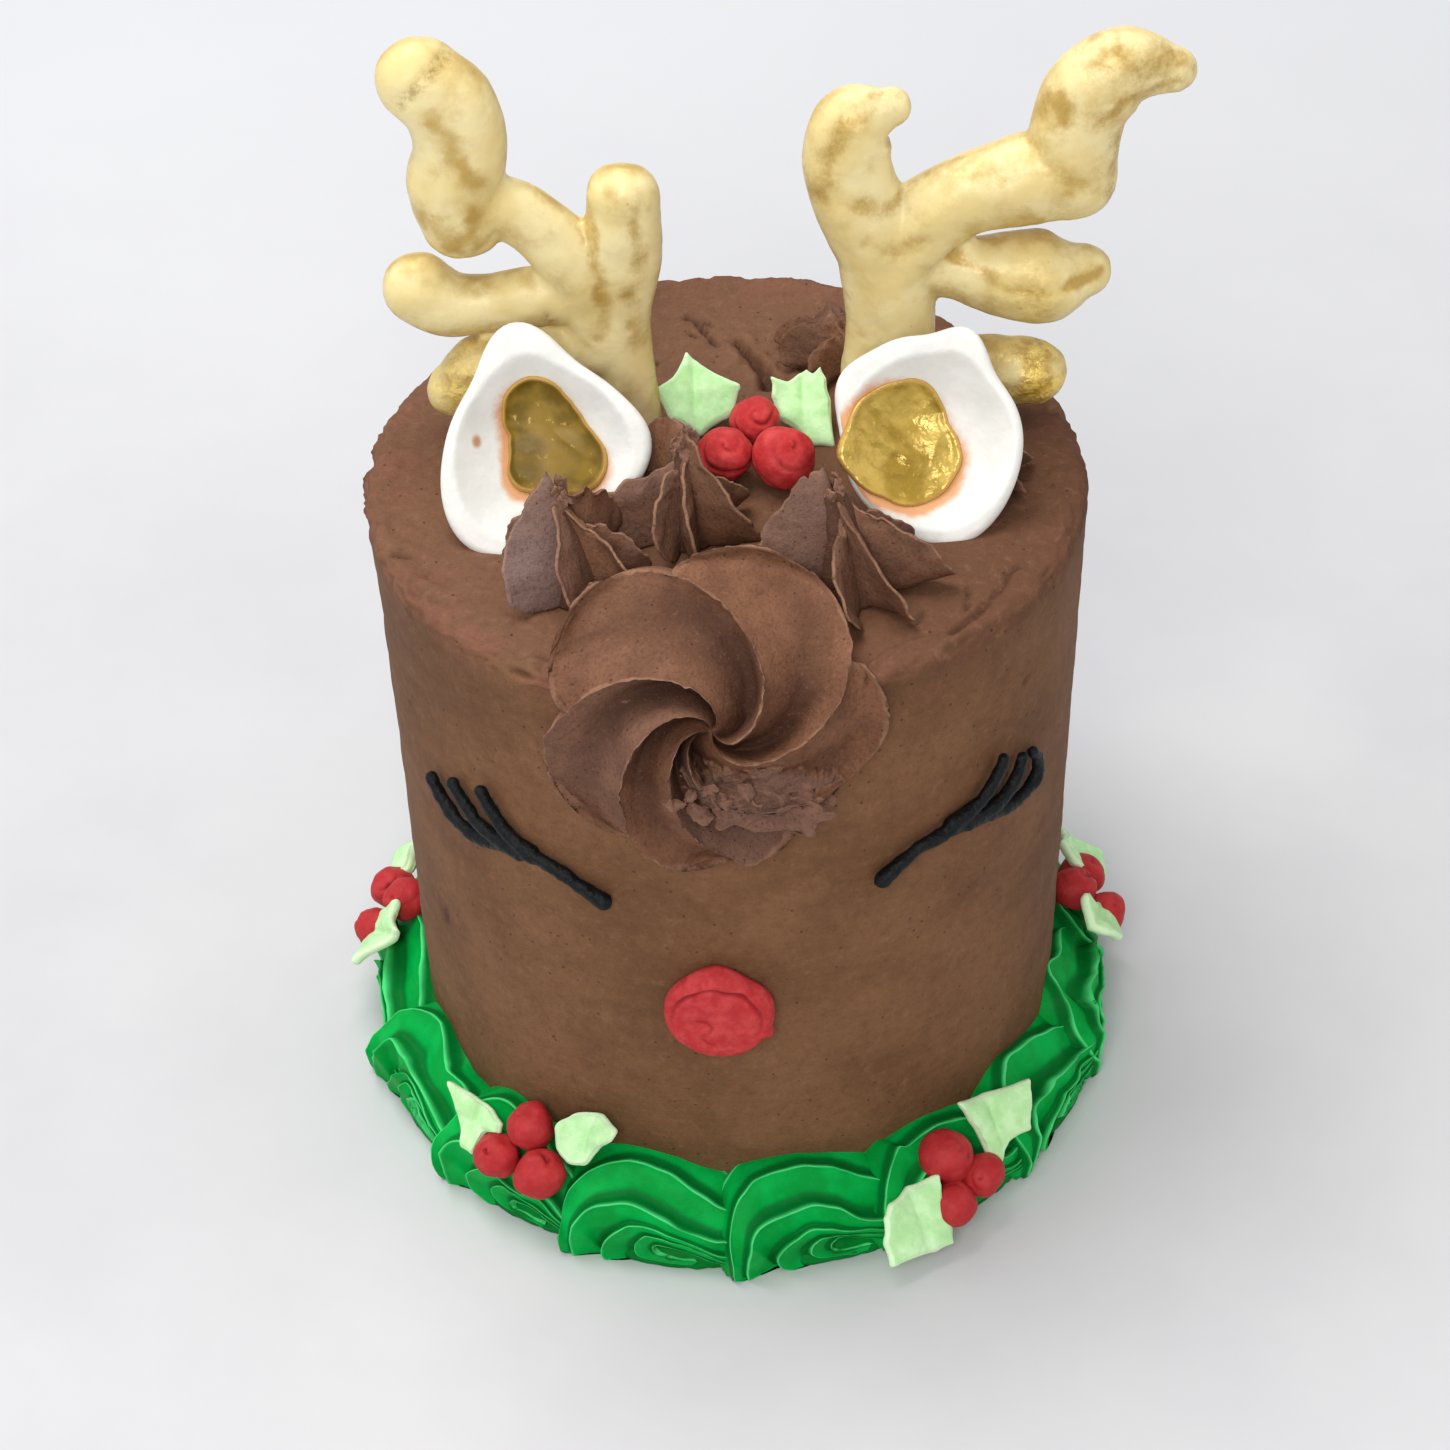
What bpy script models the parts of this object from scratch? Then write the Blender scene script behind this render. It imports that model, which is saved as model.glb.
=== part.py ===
"""A small round christmas cake, iced in chocolate and decorated as a sleeping reindeer.

The cake stands on z = 0 with its axis on +Z, and its face looks along -Y. All sizes are in metres.
"""

import math

import bmesh
import bpy
from mathutils import Matrix, Vector

MM = 0.001
TAU = 2 * math.pi

# Driving dimensions
CAKE_HEIGHT = 110 * MM
CAKE_BASE_RADIUS = 52.5 * MM
CAKE_TOP_RADIUS = 54.6 * MM
CAKE_LIP = 0.6 * MM
CAKE_LIP_SHIFT = -0.6 * MM
CAKE_EDGE_RADIUS = 2.6 * MM
CAKE_CREST_HEIGHT = 1.2 * MM
CAKE_CREST_ANGLE = math.radians(98)
CAKE_CREST_SPREAD = math.radians(55)
CAKE_SIDES = 64
# Levels of the side below the edge, steps round the edge and reach of the flat top
CAKE_SIDE_SHARES = (0.0, 0.45, 0.82)
CAKE_EDGE_STEPS = (0, 30, 60, 90)
CAKE_FLAT_SHARE = 0.88
# Unevenness of the edge: number of waves, size, start
CAKE_WAVES = ((3, 0.4 * MM, 0.6), (7, 0.25 * MM, 0.0))
CLEARANCE = 0.3 * MM
SUNK = 1.5 * MM
MOST_SHELL_FACTOR = 2.5
SHARP_FOLD = math.radians(50)

# The big swirl piped over the front of the top edge
SWIRL_CENTRE = Vector((-3.2, -47.6, 101.6)) * MM
SWIRL_TILT = math.radians(27)
SWIRL_RADIUS = 24.4 * MM
SWIRL_HEIGHT = 14.5 * MM
SWIRL_DEPTH = 17 * MM
SWIRL_GROOVE = 4.4 * MM
SWIRL_MID_RADIUS = 16 * MM
SWIRL_TWIST = math.radians(60)
SWIRL_RIDGES = (0, 75, 151, 211, 254, 303)
SWIRL_FALL = 0.9
SWIRL_FALL_POWER = 2.2
SWIRL_EYE_DIP = 2.2 * MM
SWIRL_EYE_REACH = 0.12
# The sides lift to ride over the cake's edge, most at this share of the radius above the eye
SWIRL_SADDLE = 10 * MM
SWIRL_SADDLE_PLACE = 0.25
SWIRL_SADDLE_SPREAD = 0.5
# The grooves deepen quickly from the eye and fade a little towards the rim
SWIRL_GROOVE_GROWTH = 2.2
SWIRL_GROOVE_FADE = 0.25
SWIRL_RIM_LEAST = 0.93
SWIRL_RIM_SWELL = 0.1
SWIRL_RIM_POWER = 0.8
# Across each blade: share of the way from its ridge, and share of the groove's depth
SWIRL_BLADE = ((0.0, 0.0), (0.13, 1.0), (0.42, 0.66), (0.74, 0.24))
# Outwards from the eye, then the back from its deepest ring: share of the rim, share of the depth
SWIRL_FRONT = (0.95, 0.82, 0.66, 0.5, 0.34, 0.2, 0.07)
SWIRL_BACK = ((0.45, -1.0), (0.8, -0.6), (0.97, -0.22), (1.0, -0.04))

# Drop stars: share of the height and of the radius up a blade, then how far each spoke falls short
STAR_OUTLINE = ((0.0, 0.84), (0.12, 1.0), (0.36, 0.93), (0.62, 0.7), (0.84, 0.38), (0.97, 0.14))
STAR_GROOVES = (0.0, 0.42, 0.56, 0.42)
STAR_TWIST = 24
# Name, place of the foot, radius, height, lean of the tip, number of blades, degrees of the first
STARS = (
    ("star_left", (-22.0, -29.2), 11.8, 17.0, (-4.0, 5.6), 7, 12),
    ("star_centre", (-6.6, -15.4), 12.4, 15.4, (0.0, 3.9), 7, 35),
    ("star_right", (17.6, -29.4), 14.4, 16.4, (-3.7, 6.4), 8, 22),
    ("star_back", (17.6, 30.5), 10.4, 8.5, (0.0, -1.0), 7, 20),
    ("star_behind_ear", (37.4, -4.5), 9.4, 8.0, (0.0, 0.0), 6, 15),
)

# Ears
EAR_LEAN = math.radians(35)
EAR_THICKNESS = 2.6 * MM
EAR_CUP = 4.6 * MM
EAR_SIDES = 22
# From the middle of the dish out: share of the outline, share of the cup's depth
EAR_SECTION = ((0.34, -0.9), (0.72, -0.5), (0.92, 0.0))
# Name, foot on the cake, radius, and corners of the outline as (degrees, reach, spread)
EARS = (
    ("ear_left", (-27.6, -10.0), 14.0, ((101, 5.8, 15), (5, 2.4, 26), (230, 3.8, 38))),
    ("ear_right", (30.4, -9.8), 13.4, ((71, 4.4, 13), (97, 3.0, 16), (140, 4.2, 22), (280, 2.4, 34))),
)

# Antlers: each tube is (points across and up, radii), all in one upright plane
TUBE_END_TURN = math.radians(50)
ANTLER_DEPTH = 13 * MM
ANTLER_FLATNESS = 0.85
ANTLER_SIDES = 8
ANTLER_SAMPLES = 6
ANTLERS = {
    "antler_left": (
        (((-14.2, 108), (-15.2, 119), (-15.8, 130), (-14.9, 142), (-14.5, 151)), (4.8, 4.7, 4.8, 5.8, 5.7)),
        (((-18.0, 125), (-21.2, 136), (-25.0, 144), (-30.5, 149), (-36, 151)), (4.6, 5.2, 5.1, 5.0, 4.8)),
        (((-38.6, 148), (-39.4, 153), (-37.8, 160), (-39, 166.5), (-42.6, 171)), (6.4, 7.0, 7.1, 7.2, 6.8)),
        (((-19, 133), (-27, 134.4), (-35, 133.3), (-41.5, 133.4), (-45.6, 136.4)), (4.6, 4.5, 4.6, 5.4, 5.6)),
        (((-16, 124), (-24.0, 125.0), (-31.5, 123.8), (-37.4, 121.2), (-40.9, 118)), (4.4, 4.6, 5.0, 5.5, 5.0)),
    ),
    "antler_right": (
        (((23.6, 108), (24.4, 117), (25.2, 126), (25.0, 135), (23.0, 143.5)), (7.0, 7.0, 6.8, 7.0, 6.9)),
        (((23.2, 142), (19.6, 150.5), (18.7, 158), (20.6, 163), (24.6, 165)), (6.9, 6.8, 6.4, 5.9, 3.2)),
        (((25.5, 138), (30.0, 145), (36.0, 149.6), (43.5, 152), (51, 153.4)), (6.8, 6.5, 6.4, 6.9, 6.9)),
        (((51.6, 153), (52.2, 160), (54.0, 166.5), (59.0, 170.6), (65.8, 170)), (7.0, 6.8, 6.8, 6.4, 3.6)),
        (((28, 138), (35.0, 137.4), (42.0, 136.0), (49, 135.2), (54, 136.2)), (5.0, 5.0, 6.6, 7.2, 4.6)),
        (((24, 121), (33, 119.5), (41.0, 118.7), (46.9, 118.1)), (4.6, 4.8, 5.7, 5.4)),
    ),
}

# Nose: a flat spiral disc on the front
NOSE_ANGLE = -3.6
NOSE_HEIGHT = 49.6 * MM
NOSE_RADIUS = 9.0 * MM
NOSE_THICKNESS = 4.2 * MM
NOSE_WIDTH_SHARE = 0.92
NOSE_SIDES = 18
# Unevenness of the rim: number of waves, share of the radius, start
NOSE_WAVES = ((2, 0.03, 0.0), (5, 0.02, 1.0))
# From the back round the rim to the middle: share of the radius, share of the thickness
NOSE_SECTION = ((0.9, 0.0), (1.0, 0.35), (0.95, 0.7), (0.8, 0.94), (0.58, 0.86), (0.36, 1.0), (0.14, 0.84))

# Closed eyelashes: strokes as (degrees round the cake from the front, height)
LASH_RADIUS = 1.15 * MM
LASH_SIDES = 6
LASHES = {
    "lash_left": (
        ((-21.5, 69.1), (-28.3, 72.4), (-34.1, 73.8), (-42.8, 72.1), (-47.9, 71.6), (-52.6, 73.0),
         (-56.7, 76.3)),
        ((-36.0, 73.4), (-43.8, 74.4), (-47.2, 76.7), (-50.2, 79.2)),
        ((-34.0, 74.0), (-38.3, 76.2), (-41.3, 79.4), (-43.3, 81.9)),
    ),
    "lash_right": (
        ((22.7, 72.0), (27.7, 75.1), (33.2, 76.2), (41.4, 75.2), (48.9, 73.4), (55.0, 74.0),
         (55.6, 77.5), (53.8, 80.4)),
        ((38.0, 76.0), (44.2, 75.8), (48.8, 77.4), (50.8, 81.0)),
        ((35.0, 77.0), (41.0, 78.8), (44.4, 81.6), (45.8, 84.2)),
    ),
}

# Green border: a ring of shells, each a ribbed rope bent round its own eye
SHELL_COUNT = 15
SHELL_FIRST = math.radians(-100.2)
SHELL_EYE_RADIUS = 57.2 * MM
SHELL_FRONT_MORE = 3.2 * MM
SHELL_EYE_HEIGHT = 0.8 * MM
SHELL_LEAN = math.radians(35)
SHELL_RINGS = 8
# Round the rope from its outer edge, over its front to its eye and back behind: degrees, share of its radius
SHELL_SECTION = tuple((22.5 * k, 1 - 0.24 * (k % 2)) for k in range(9)) + ((240, 0.85), (300, 0.85))
# Along the rope: degrees round its eye, distance from it, radius
SHELL_ROPE = ((-15, 5.6, 4.4), (-70, 5.8, 5.2), (-120, 6.8, 6.4), (-175, 8.2, 8.0), (-215, 8.8, 8.6),
              (-255, 8.8, 8.4), (-300, 9.8, 7.0), (-335, 13.6, 4.6))

# Leaves
LEAF_THICKNESS = 1.3 * MM
LEAF_LIFT = 0.22
LEAF_RIPPLE = 0.07
LEAF_RIPPLE_COUNT = 3
LEAF_RIPPLE_START = 0.5
LEAF_DIP = 0.3 * MM
# How hollow an edge is, in full where its corners lie this many degrees apart
LEAF_HOLLOW = 0.2
LEAF_HOLLOW_GAP = 90
# From the lower face round the edge to the upper one: share of the outline, side of the sheet
LEAF_LAYERS = ((0.5, -1), (1.0, -0.6), (1.0, 0.6), (0.5, 1))
# Corners of each outline as (degrees, reach)
LEAF_FORMS = {
    "kite": ((6, 7.3), (78, 4.8), (100, 6.9), (144, 4.1), (177, 6.5), (225, 5.9), (276, 7.2), (329, 7.2)),
    "torn": ((61, 5.6), (100, 4.2), (147, 6.0), (219, 5.5), (263, 5.8), (300, 9.4), (350, 4.3)),
    "arrow": ((9, 5.2), (62, 3.1), (149, 8.5), (188, 3.9), (268, 5.6), (330, 2.3)),
    "shield": ((30, 6.2), (80, 4.9), (127, 4.6), (180, 6.2), (220, 6.0), (253, 5.4), (340, 2.9)),
    "banner": ((10, 6.5), (36, 9.5), (89, 5.8), (132, 9.0), (186, 3.6), (251, 7.4), (296, 3.5), (334, 5.9)),
    "flag": ((19, 4.8), (48, 8.2), (90, 5.6), (134, 6.4), (187, 7.3), (214, 9.0), (279, 5.9), (307, 7.2)),
}

# Round the berry from its foot up: share of its radius across, and up
BERRY_SIDES = 8
BERRY_LEAN = 0.05
BERRY_LEAN_TURN = 5
BERRY_SECTION = ((0.55, -0.78), (0.98, -0.2), (0.9, 0.42), (0.58, 0.7), (0.3, 0.94))

# Holly on top: berries by place and radius, leaves by place, form, lean and turn
TOP_BERRIES = (
    ("top_berry_left", (-0.6, -1.5, 114.6), 4.3),
    ("top_berry_right", (8.2, -3.2, 114.4), 4.7),
    ("top_berry_back", (4.2, 6.6, 114.9), 3.7),
)
TOP_LEAVES = (
    ("top_leaf_left", (-4.9, 14.4, 114.8), "kite", 48, 0),
    ("top_leaf_right", (11.9, 12.4, 114.7), "torn", 48, 0),
)

# Holly round the base. Berries: place along, out from the axis and up, radius. Leaves: the same
# place, lean and turn
CLUSTER_NAMES = ("front_left", "front_right", "right", "back_right", "back_left", "left")
CLUSTER_ANGLES = (-125, -61, 9, 63, 117, 170)
CLUSTER_LEAF_FORMS = (("arrow", "shield"), ("banner", "flag"), ("kite", "shield"),
                      ("arrow", "kite"), ("shield", "banner"), ("kite", "shield"))
CLUSTER_BERRIES = (
    ((-1.5, 57.6, 16.6, 3.7), (-5.2, 62.6, 12.6, 3.9), (2.6, 62.4, 12.4, 4.0)),
    ((1.0, 60.6, 13.8, 4.2), (6.6, 64.6, 10.6, 3.7), (-1.2, 66.2, 8.8, 3.6)),
    ((-2.0, 57.4, 16.2, 3.7), (3.2, 60.0, 13.6, 3.8), (-4.4, 62.6, 11.6, 3.6)),
    ((0.0, 57.6, 16.2, 3.8), (4.6, 62.0, 12.4, 3.7), (-3.8, 62.4, 12.2, 3.9)),
    ((1.2, 57.6, 16.0, 3.7), (5.0, 62.4, 11.8, 3.8), (-3.4, 62.0, 12.6, 3.7)),
    ((1.6, 57.6, 16.4, 3.8), (-4.0, 61.4, 13.4, 3.8), (5.0, 62.4, 11.8, 3.6)),
)
CLUSTER_LEAVES = (
    ((-10.3, 59.7, 14.5, 38, 0), (9.3, 56.7, 19.0, 34, 0)),
    ((12.5, 60.0, 13.6, 38, 0), (-6.0, 65.0, 7.6, 38, 0)),
    ((6.8, 60.2, 15.4, 40, -70), (-9.4, 59.8, 15.4, 38, 60)),
    ((8.8, 59.6, 15.6, 36, -50), (-8.4, 59.8, 15.4, 38, 50)),
    ((9.2, 59.8, 15.4, 38, -60), (-8.2, 59.6, 15.6, 36, 40)),
    ((9.8, 60.0, 15.2, 38, -40), (-8.6, 59.6, 15.8, 38, 55)),
)

# Colour, roughness and metallic value of each food
LOOKS = {
    "chocolate_icing": ((0.17, 0.085, 0.05), 0.72, 0.0),
    "chocolate_piping": ((0.19, 0.10, 0.065), 0.75, 0.0),
    "white_icing": ((0.83, 0.84, 0.84), 0.45, 0.0),
    "gold_antler": ((0.80, 0.66, 0.30), 0.38, 0.35),
    "red_icing": ((0.52, 0.035, 0.04), 0.5, 0.0),
    "black_icing": ((0.012, 0.016, 0.02), 0.55, 0.0),
    "green_icing": ((0.0, 0.36, 0.07), 0.45, 0.0),
    "pale_green_icing": ((0.52, 0.83, 0.45), 0.55, 0.0),
}


# Mesh helpers

def material(name):
    """The food's material, made once."""
    found = bpy.data.materials.get(name)
    if found:
        return found
    colour, roughness, metallic = LOOKS[name]
    made = bpy.data.materials.new(name)
    made.use_nodes = True
    shader = made.node_tree.nodes["Principled BSDF"]
    shader.inputs["Base Color"].default_value = (*colour, 1)
    shader.inputs["Roughness"].default_value = roughness
    shader.inputs["Metallic"].default_value = metallic
    return made


def solid(name, shape, look):
    """An object from points and triangles, smooth but for its sharp folds."""
    points, triangles = shape
    mesh = bpy.data.meshes.new(name)
    mesh.from_pydata([tuple(point) for point in points], [], triangles)
    mesh.materials.append(material(look))
    obj = bpy.data.objects.new(name, mesh)
    bpy.context.scene.collection.objects.link(obj)
    shade(obj)
    return obj


def shade(obj):
    obj.data.shade_smooth()
    obj.data.set_sharp_from_angle(angle=SHARP_FOLD)


def loft(rings, start=None, end=None):
    """A closed body through rings of equal count, with a fan at each end from its tip or its mean point.

    Seen from outside, each ring runs anticlockwise about the way from the first ring to the last.
    """
    count = len(rings[0])
    points = [point for ring in rings for point in ring]
    triangles = []
    for low in range(len(rings) - 1):
        for i in range(count):
            j = (i + 1) % count
            a, b = low * count + i, low * count + j
            c, d = b + count, a + count
            triangles.append((a, b, c))
            triangles.append((a, c, d))
    last = (len(rings) - 1) * count
    points.append(start or sum(rings[0], Vector()) / count)
    points.append(end or sum(rings[-1], Vector()) / count)
    for i in range(count):
        j = (i + 1) % count
        triangles.append((len(points) - 2, j, i))
        triangles.append((len(points) - 1, last + i, last + j))
    return points, triangles


def placed(shape, matrix):
    points, triangles = shape
    return [matrix @ Vector(point) for point in points], triangles


def ring_angles(sides):
    return [TAU * i / sides for i in range(sides)]


def polar(angle, radius, height):
    return Vector((radius * math.cos(angle), radius * math.sin(angle), height))


def curve_through(values, samples):
    """Values read evenly along a smooth curve through the given tuples, ends included."""
    last = len(values) - 1
    found = []
    for step in range(samples):
        place = last * step / (samples - 1)
        i = min(int(place), last - 1)
        t = place - i
        before, start, end, after = (values[min(max(k, 0), last)] for k in (i - 1, i, i + 1, i + 2))
        found.append(tuple(
            0.5 * (2 * b + (c - a) * t + (2 * a - 5 * b + 4 * c - d) * t * t
                   + (3 * b - a - 3 * c + d) * t ** 3)
            for a, b, c, d in zip(before, start, end, after)))
    return found


def grown(shape, by=CLEARANCE):
    """The shape with every face moved out by about the same distance, to keep a neighbour clear of it."""
    points, triangles = shape
    shell = bmesh.new()
    vertices = [shell.verts.new(point) for point in points]
    for triangle in triangles:
        shell.faces.new([vertices[i] for i in triangle])
    shell.normal_update()
    moved = [v.co + v.normal * by * min(v.calc_shell_factor(), MOST_SHELL_FACTOR) for v in vertices]
    shell.free()
    return moved, triangles


def bake(obj):
    """Applies the object's modifiers and keeps its largest body: loose scraps and sealed hollows go."""
    graph = bpy.context.evaluated_depsgraph_get()
    mesh = bpy.data.meshes.new_from_object(obj.evaluated_get(graph))
    old = obj.data
    obj.modifiers.clear()
    obj.data = mesh
    bpy.data.meshes.remove(old)
    shell = bmesh.new()
    shell.from_mesh(mesh)
    bmesh.ops.triangulate(shell, faces=shell.faces)
    unseen = set(shell.faces)
    bodies = []
    while unseen:
        body = []
        waiting = [unseen.pop()]
        while waiting:
            face = waiting.pop()
            body.append(face)
            for edge in face.edges:
                for other in edge.link_faces:
                    if other in unseen:
                        unseen.discard(other)
                        waiting.append(other)
        bodies.append(body)
    bodies.sort(key=len)
    scraps = [face for body in bodies[:-1] for face in body]
    bmesh.ops.delete(shell, geom=scraps, context="FACES")
    shell.to_mesh(mesh)
    shell.free()
    shade(obj)


def combine(target, others, operation):
    """One Boolean of the target with all the others, applied, after which the others are removed."""
    if not others:
        return
    group = bpy.data.collections.new("operands")
    bpy.context.scene.collection.children.link(group)
    for other in others:
        bpy.context.scene.collection.objects.unlink(other)
        group.objects.link(other)
    modifier = target.modifiers.new(operation.lower(), "BOOLEAN")
    modifier.operation = operation
    modifier.operand_type = "COLLECTION"
    modifier.collection = group
    modifier.solver = "EXACT"
    bake(target)
    for other in others:
        mesh = other.data
        bpy.data.objects.remove(other)
        bpy.data.meshes.remove(mesh)
    bpy.data.collections.remove(group)


def cut(target, shapes):
    """Takes the shapes out of the target."""
    cutters = [solid("cutter", shape, "chocolate_icing") for shape in shapes]
    for cutter in cutters:
        cutter.hide_render = True
        cutter.display_type = "WIRE"
    combine(target, cutters, "DIFFERENCE")


def clear_of(target, neighbours):
    """Cuts the target back from its neighbours' shapes by the clearance."""
    cut(target, [grown(shape) for shape in neighbours])


# Cake

def cake_radius(height):
    return CAKE_BASE_RADIUS + (CAKE_TOP_RADIUS - CAKE_BASE_RADIUS) * height / CAKE_HEIGHT


def cake_shape():
    """The iced cake: a slight taper, a lip, a rounded and uneven top edge, and a flat top."""
    corner = (CAKE_TOP_RADIUS + CAKE_LIP - CAKE_EDGE_RADIUS, CAKE_HEIGHT - CAKE_EDGE_RADIUS)
    profile = [(cake_radius(share * CAKE_HEIGHT), share * CAKE_HEIGHT, 0.0) for share in CAKE_SIDE_SHARES]
    for degrees in CAKE_EDGE_STEPS:
        turn = math.radians(degrees)
        level = corner[1] + CAKE_EDGE_RADIUS * math.sin(turn)
        profile.append((corner[0] + CAKE_EDGE_RADIUS * math.cos(turn), level, 1.0))
    profile.append((CAKE_FLAT_SHARE * CAKE_TOP_RADIUS, CAKE_HEIGHT, 0.0))
    rings = []
    for radius, height, waviness in profile:
        ring = []
        for angle in ring_angles(CAKE_SIDES):
            wave = waviness * sum(size * math.sin(count * angle + start) for count, size, start in CAKE_WAVES)
            crest = math.exp(-((angle - CAKE_CREST_ANGLE) / CAKE_CREST_SPREAD) ** 2)
            rise = waviness * CAKE_CREST_HEIGHT * crest
            shift = Vector((waviness * CAKE_LIP_SHIFT, 0, 0))
            ring.append(polar(angle, radius + wave, height + rise) + shift)
        rings.append(ring)
    return loft(rings)


def on_side(degrees, height, out=0.0):
    """A point on the cake's side, by degrees round from the front, and by height and distance off it."""
    turn = math.radians(degrees)
    reach = cake_radius(height) + out
    return Vector((reach * math.sin(turn), -reach * math.cos(turn), height))


# Big swirl and drop stars

def facing_frame(centre, tilt):
    """Local x to the right, y up the slope and z out of it, for a slope that faces the front."""
    up = Vector((0, math.sin(tilt), math.cos(tilt)))
    out = Vector((0, -math.cos(tilt), math.sin(tilt)))
    return Matrix.Translation(centre) @ Matrix((Vector((1, 0, 0)), up, out)).transposed().to_4x4()


def swirl_shape():
    """Leaning blades that spiral out from the eye, on a dome whose back reaches into the cake."""
    spokes = list(swirl_spokes())
    twist = swirl_twist(SWIRL_RADIUS)
    rings = []
    for reach, height in SWIRL_BACK:
        ring = []
        for angle, share, _ in spokes:
            place = polar(angle + twist, reach * swirl_rim(share), height * SWIRL_DEPTH)
            ring.append(place + swirl_saddle(place))
        rings.append(ring)
    for reach in SWIRL_FRONT:
        dome = SWIRL_HEIGHT * (1 - SWIRL_FALL * reach ** SWIRL_FALL_POWER)
        dome -= SWIRL_EYE_DIP * math.exp(-(reach / SWIRL_EYE_REACH) ** 2)
        deepest = SWIRL_GROOVE * min(1.0, SWIRL_GROOVE_GROWTH * reach) * (1 - SWIRL_GROOVE_FADE * reach)
        ring = []
        for angle, share, groove in spokes:
            radius = reach * swirl_rim(share)
            place = polar(angle + swirl_twist(radius), radius, dome - deepest * groove)
            ring.append(place + swirl_saddle(place))
        rings.append(ring)
    return placed(loft(rings), facing_frame(SWIRL_CENTRE, SWIRL_TILT))


def swirl_saddle(place):
    """How far both sides of the swirl lift to ride over the cake's top edge."""
    across, along = place.x / SWIRL_RADIUS, place.y / SWIRL_RADIUS
    nearness = math.exp(-((along - SWIRL_SADDLE_PLACE) / SWIRL_SADDLE_SPREAD) ** 2)
    return Vector((0, 0, SWIRL_SADDLE * across ** 2 * nearness))


def swirl_twist(radius):
    """How far a ridge has turned at this radius: it leans by the same angle all the way out."""
    return SWIRL_TWIST * math.log(radius / SWIRL_MID_RADIUS)


def swirl_spokes():
    """Each spoke's angle at the middle radius, its share of the way along its blade, and its depth."""
    ends = SWIRL_RIDGES[1:] + (SWIRL_RIDGES[0] + 360,)
    for start, end in zip(SWIRL_RIDGES, ends):
        for share, groove in SWIRL_BLADE:
            yield math.radians(start + share * (end - start)), share, groove


def swirl_rim(share):
    """Each blade's rim swells and then tucks in where the next blade lies over it."""
    return SWIRL_RADIUS * (SWIRL_RIM_LEAST + SWIRL_RIM_SWELL * math.sin(math.pi * share ** SWIRL_RIM_POWER))


def star_shape(place, radius, height, lean, blades, first):
    """A drop star: thin upright blades, broad near the foot and drawn up to a torn tip."""
    count = blades * len(STAR_GROOVES)
    rings = []
    for rise, reach in STAR_OUTLINE:
        centre = star_centre(place, height, lean, rise)
        ring = []
        for i in range(count):
            angle = math.radians(first + STAR_TWIST * rise) + TAU * i / count
            distance = radius * MM * reach * (1 - STAR_GROOVES[i % len(STAR_GROOVES)])
            ring.append(centre + polar(angle, distance, 0))
        rings.append(ring)
    return loft(rings, end=star_centre(place, height, lean, 1.0))


def star_centre(place, height, lean, rise):
    """The middle of the star at this share of its height: it leans more towards its tip."""
    across = Vector((place[0] + lean[0] * rise ** 2, place[1] + lean[1] * rise ** 2, rise * height)) * MM
    return across + Vector((0, 0, CAKE_HEIGHT + CLEARANCE))


# Ears

def ear_reach(angle, base, corners):
    """The outline's distance from the middle: a circle with soft corners."""
    reach = base
    for degrees, more, spread in corners:
        away = (math.degrees(angle) - degrees + 180) % 360 - 180
        reach += more * math.exp(-(away / spread) ** 2)
    return reach * MM


def ear_shape(foot, base, corners):
    """A cupped teardrop with a thick rim, leaning back."""
    rim = EAR_THICKNESS / 2
    layers = [(reach, level * EAR_CUP - rim) for reach, level in EAR_SECTION]
    layers.append((1.0, 0.0))
    layers += [(reach, level * EAR_CUP + rim) for reach, level in reversed(EAR_SECTION)]
    rings = []
    for share, level in layers:
        rings.append([polar(a, share * ear_reach(a, base, corners), level) for a in ring_angles(EAR_SIDES)])
    lowest = min(point.y for ring in rings for point in ring)
    lift = CAKE_HEIGHT - SUNK - lowest * math.cos(EAR_LEAN)
    centre = Vector((foot[0] * MM, foot[1] * MM, lift))
    return placed(loft(rings), facing_frame(centre, EAR_LEAN))


# Tubes: antlers and eyelashes

def tube(points, radii, sides, samples, flatness, normal_of):
    """A round-ended tube along a smooth curve. Its section is flattened along the given normal."""
    path = curve_through([(*point, radius) for point, radius in zip(points, radii)], samples)
    centres = [Vector(row[:3]) for row in path]
    rings = []
    for i, centre in enumerate(centres):
        radius = path[i][3]
        ahead = (centres[min(i + 1, samples - 1)] - centres[max(i - 1, 0)]).normalized()
        normal = normal_of(centre)
        across = normal.cross(ahead).normalized()
        rings.append([centre + radius * (math.cos(a) * across + flatness * math.sin(a) * normal)
                      for a in ring_angles(sides)])
    back, first_tip = round_end(rings[0], centres[0], centres[0] - centres[1])
    front, last_tip = round_end(rings[-1], centres[-1], centres[-1] - centres[-2])
    return loft([back] + rings + [front], first_tip, last_tip)


def round_end(ring, centre, ahead):
    """The ring and the tip that close a tube's end as a half ball."""
    reach = (ring[0] - centre).length
    away = ahead.normalized() * reach
    back, shrink = math.sin(TUBE_END_TURN), math.cos(TUBE_END_TURN)
    closing = [centre + away * back + (point - centre) * shrink for point in ring]
    return closing, centre + away


def antler_tubes(strokes):
    shapes = []
    for points, radii in strokes:
        route = [Vector((x * MM, ANTLER_DEPTH, z * MM)) for x, z in points]
        widths = [radius * MM for radius in radii]
        shapes.append(tube(route, widths, ANTLER_SIDES, ANTLER_SAMPLES, ANTLER_FLATNESS, backwards))
    return shapes


def backwards(point):
    return Vector((0, 1, 0))


def lash_tubes(strokes):
    shapes = []
    for stroke in strokes:
        route = [on_side(degrees, height * MM, LASH_RADIUS + CLEARANCE) for degrees, height in stroke]
        widths = [LASH_RADIUS] * len(route)
        shapes.append(tube(route, widths, LASH_SIDES, len(stroke), 1.0, away_from_axis))
    return shapes


def away_from_axis(point):
    return Vector((point.x, point.y, 0)).normalized()


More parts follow.
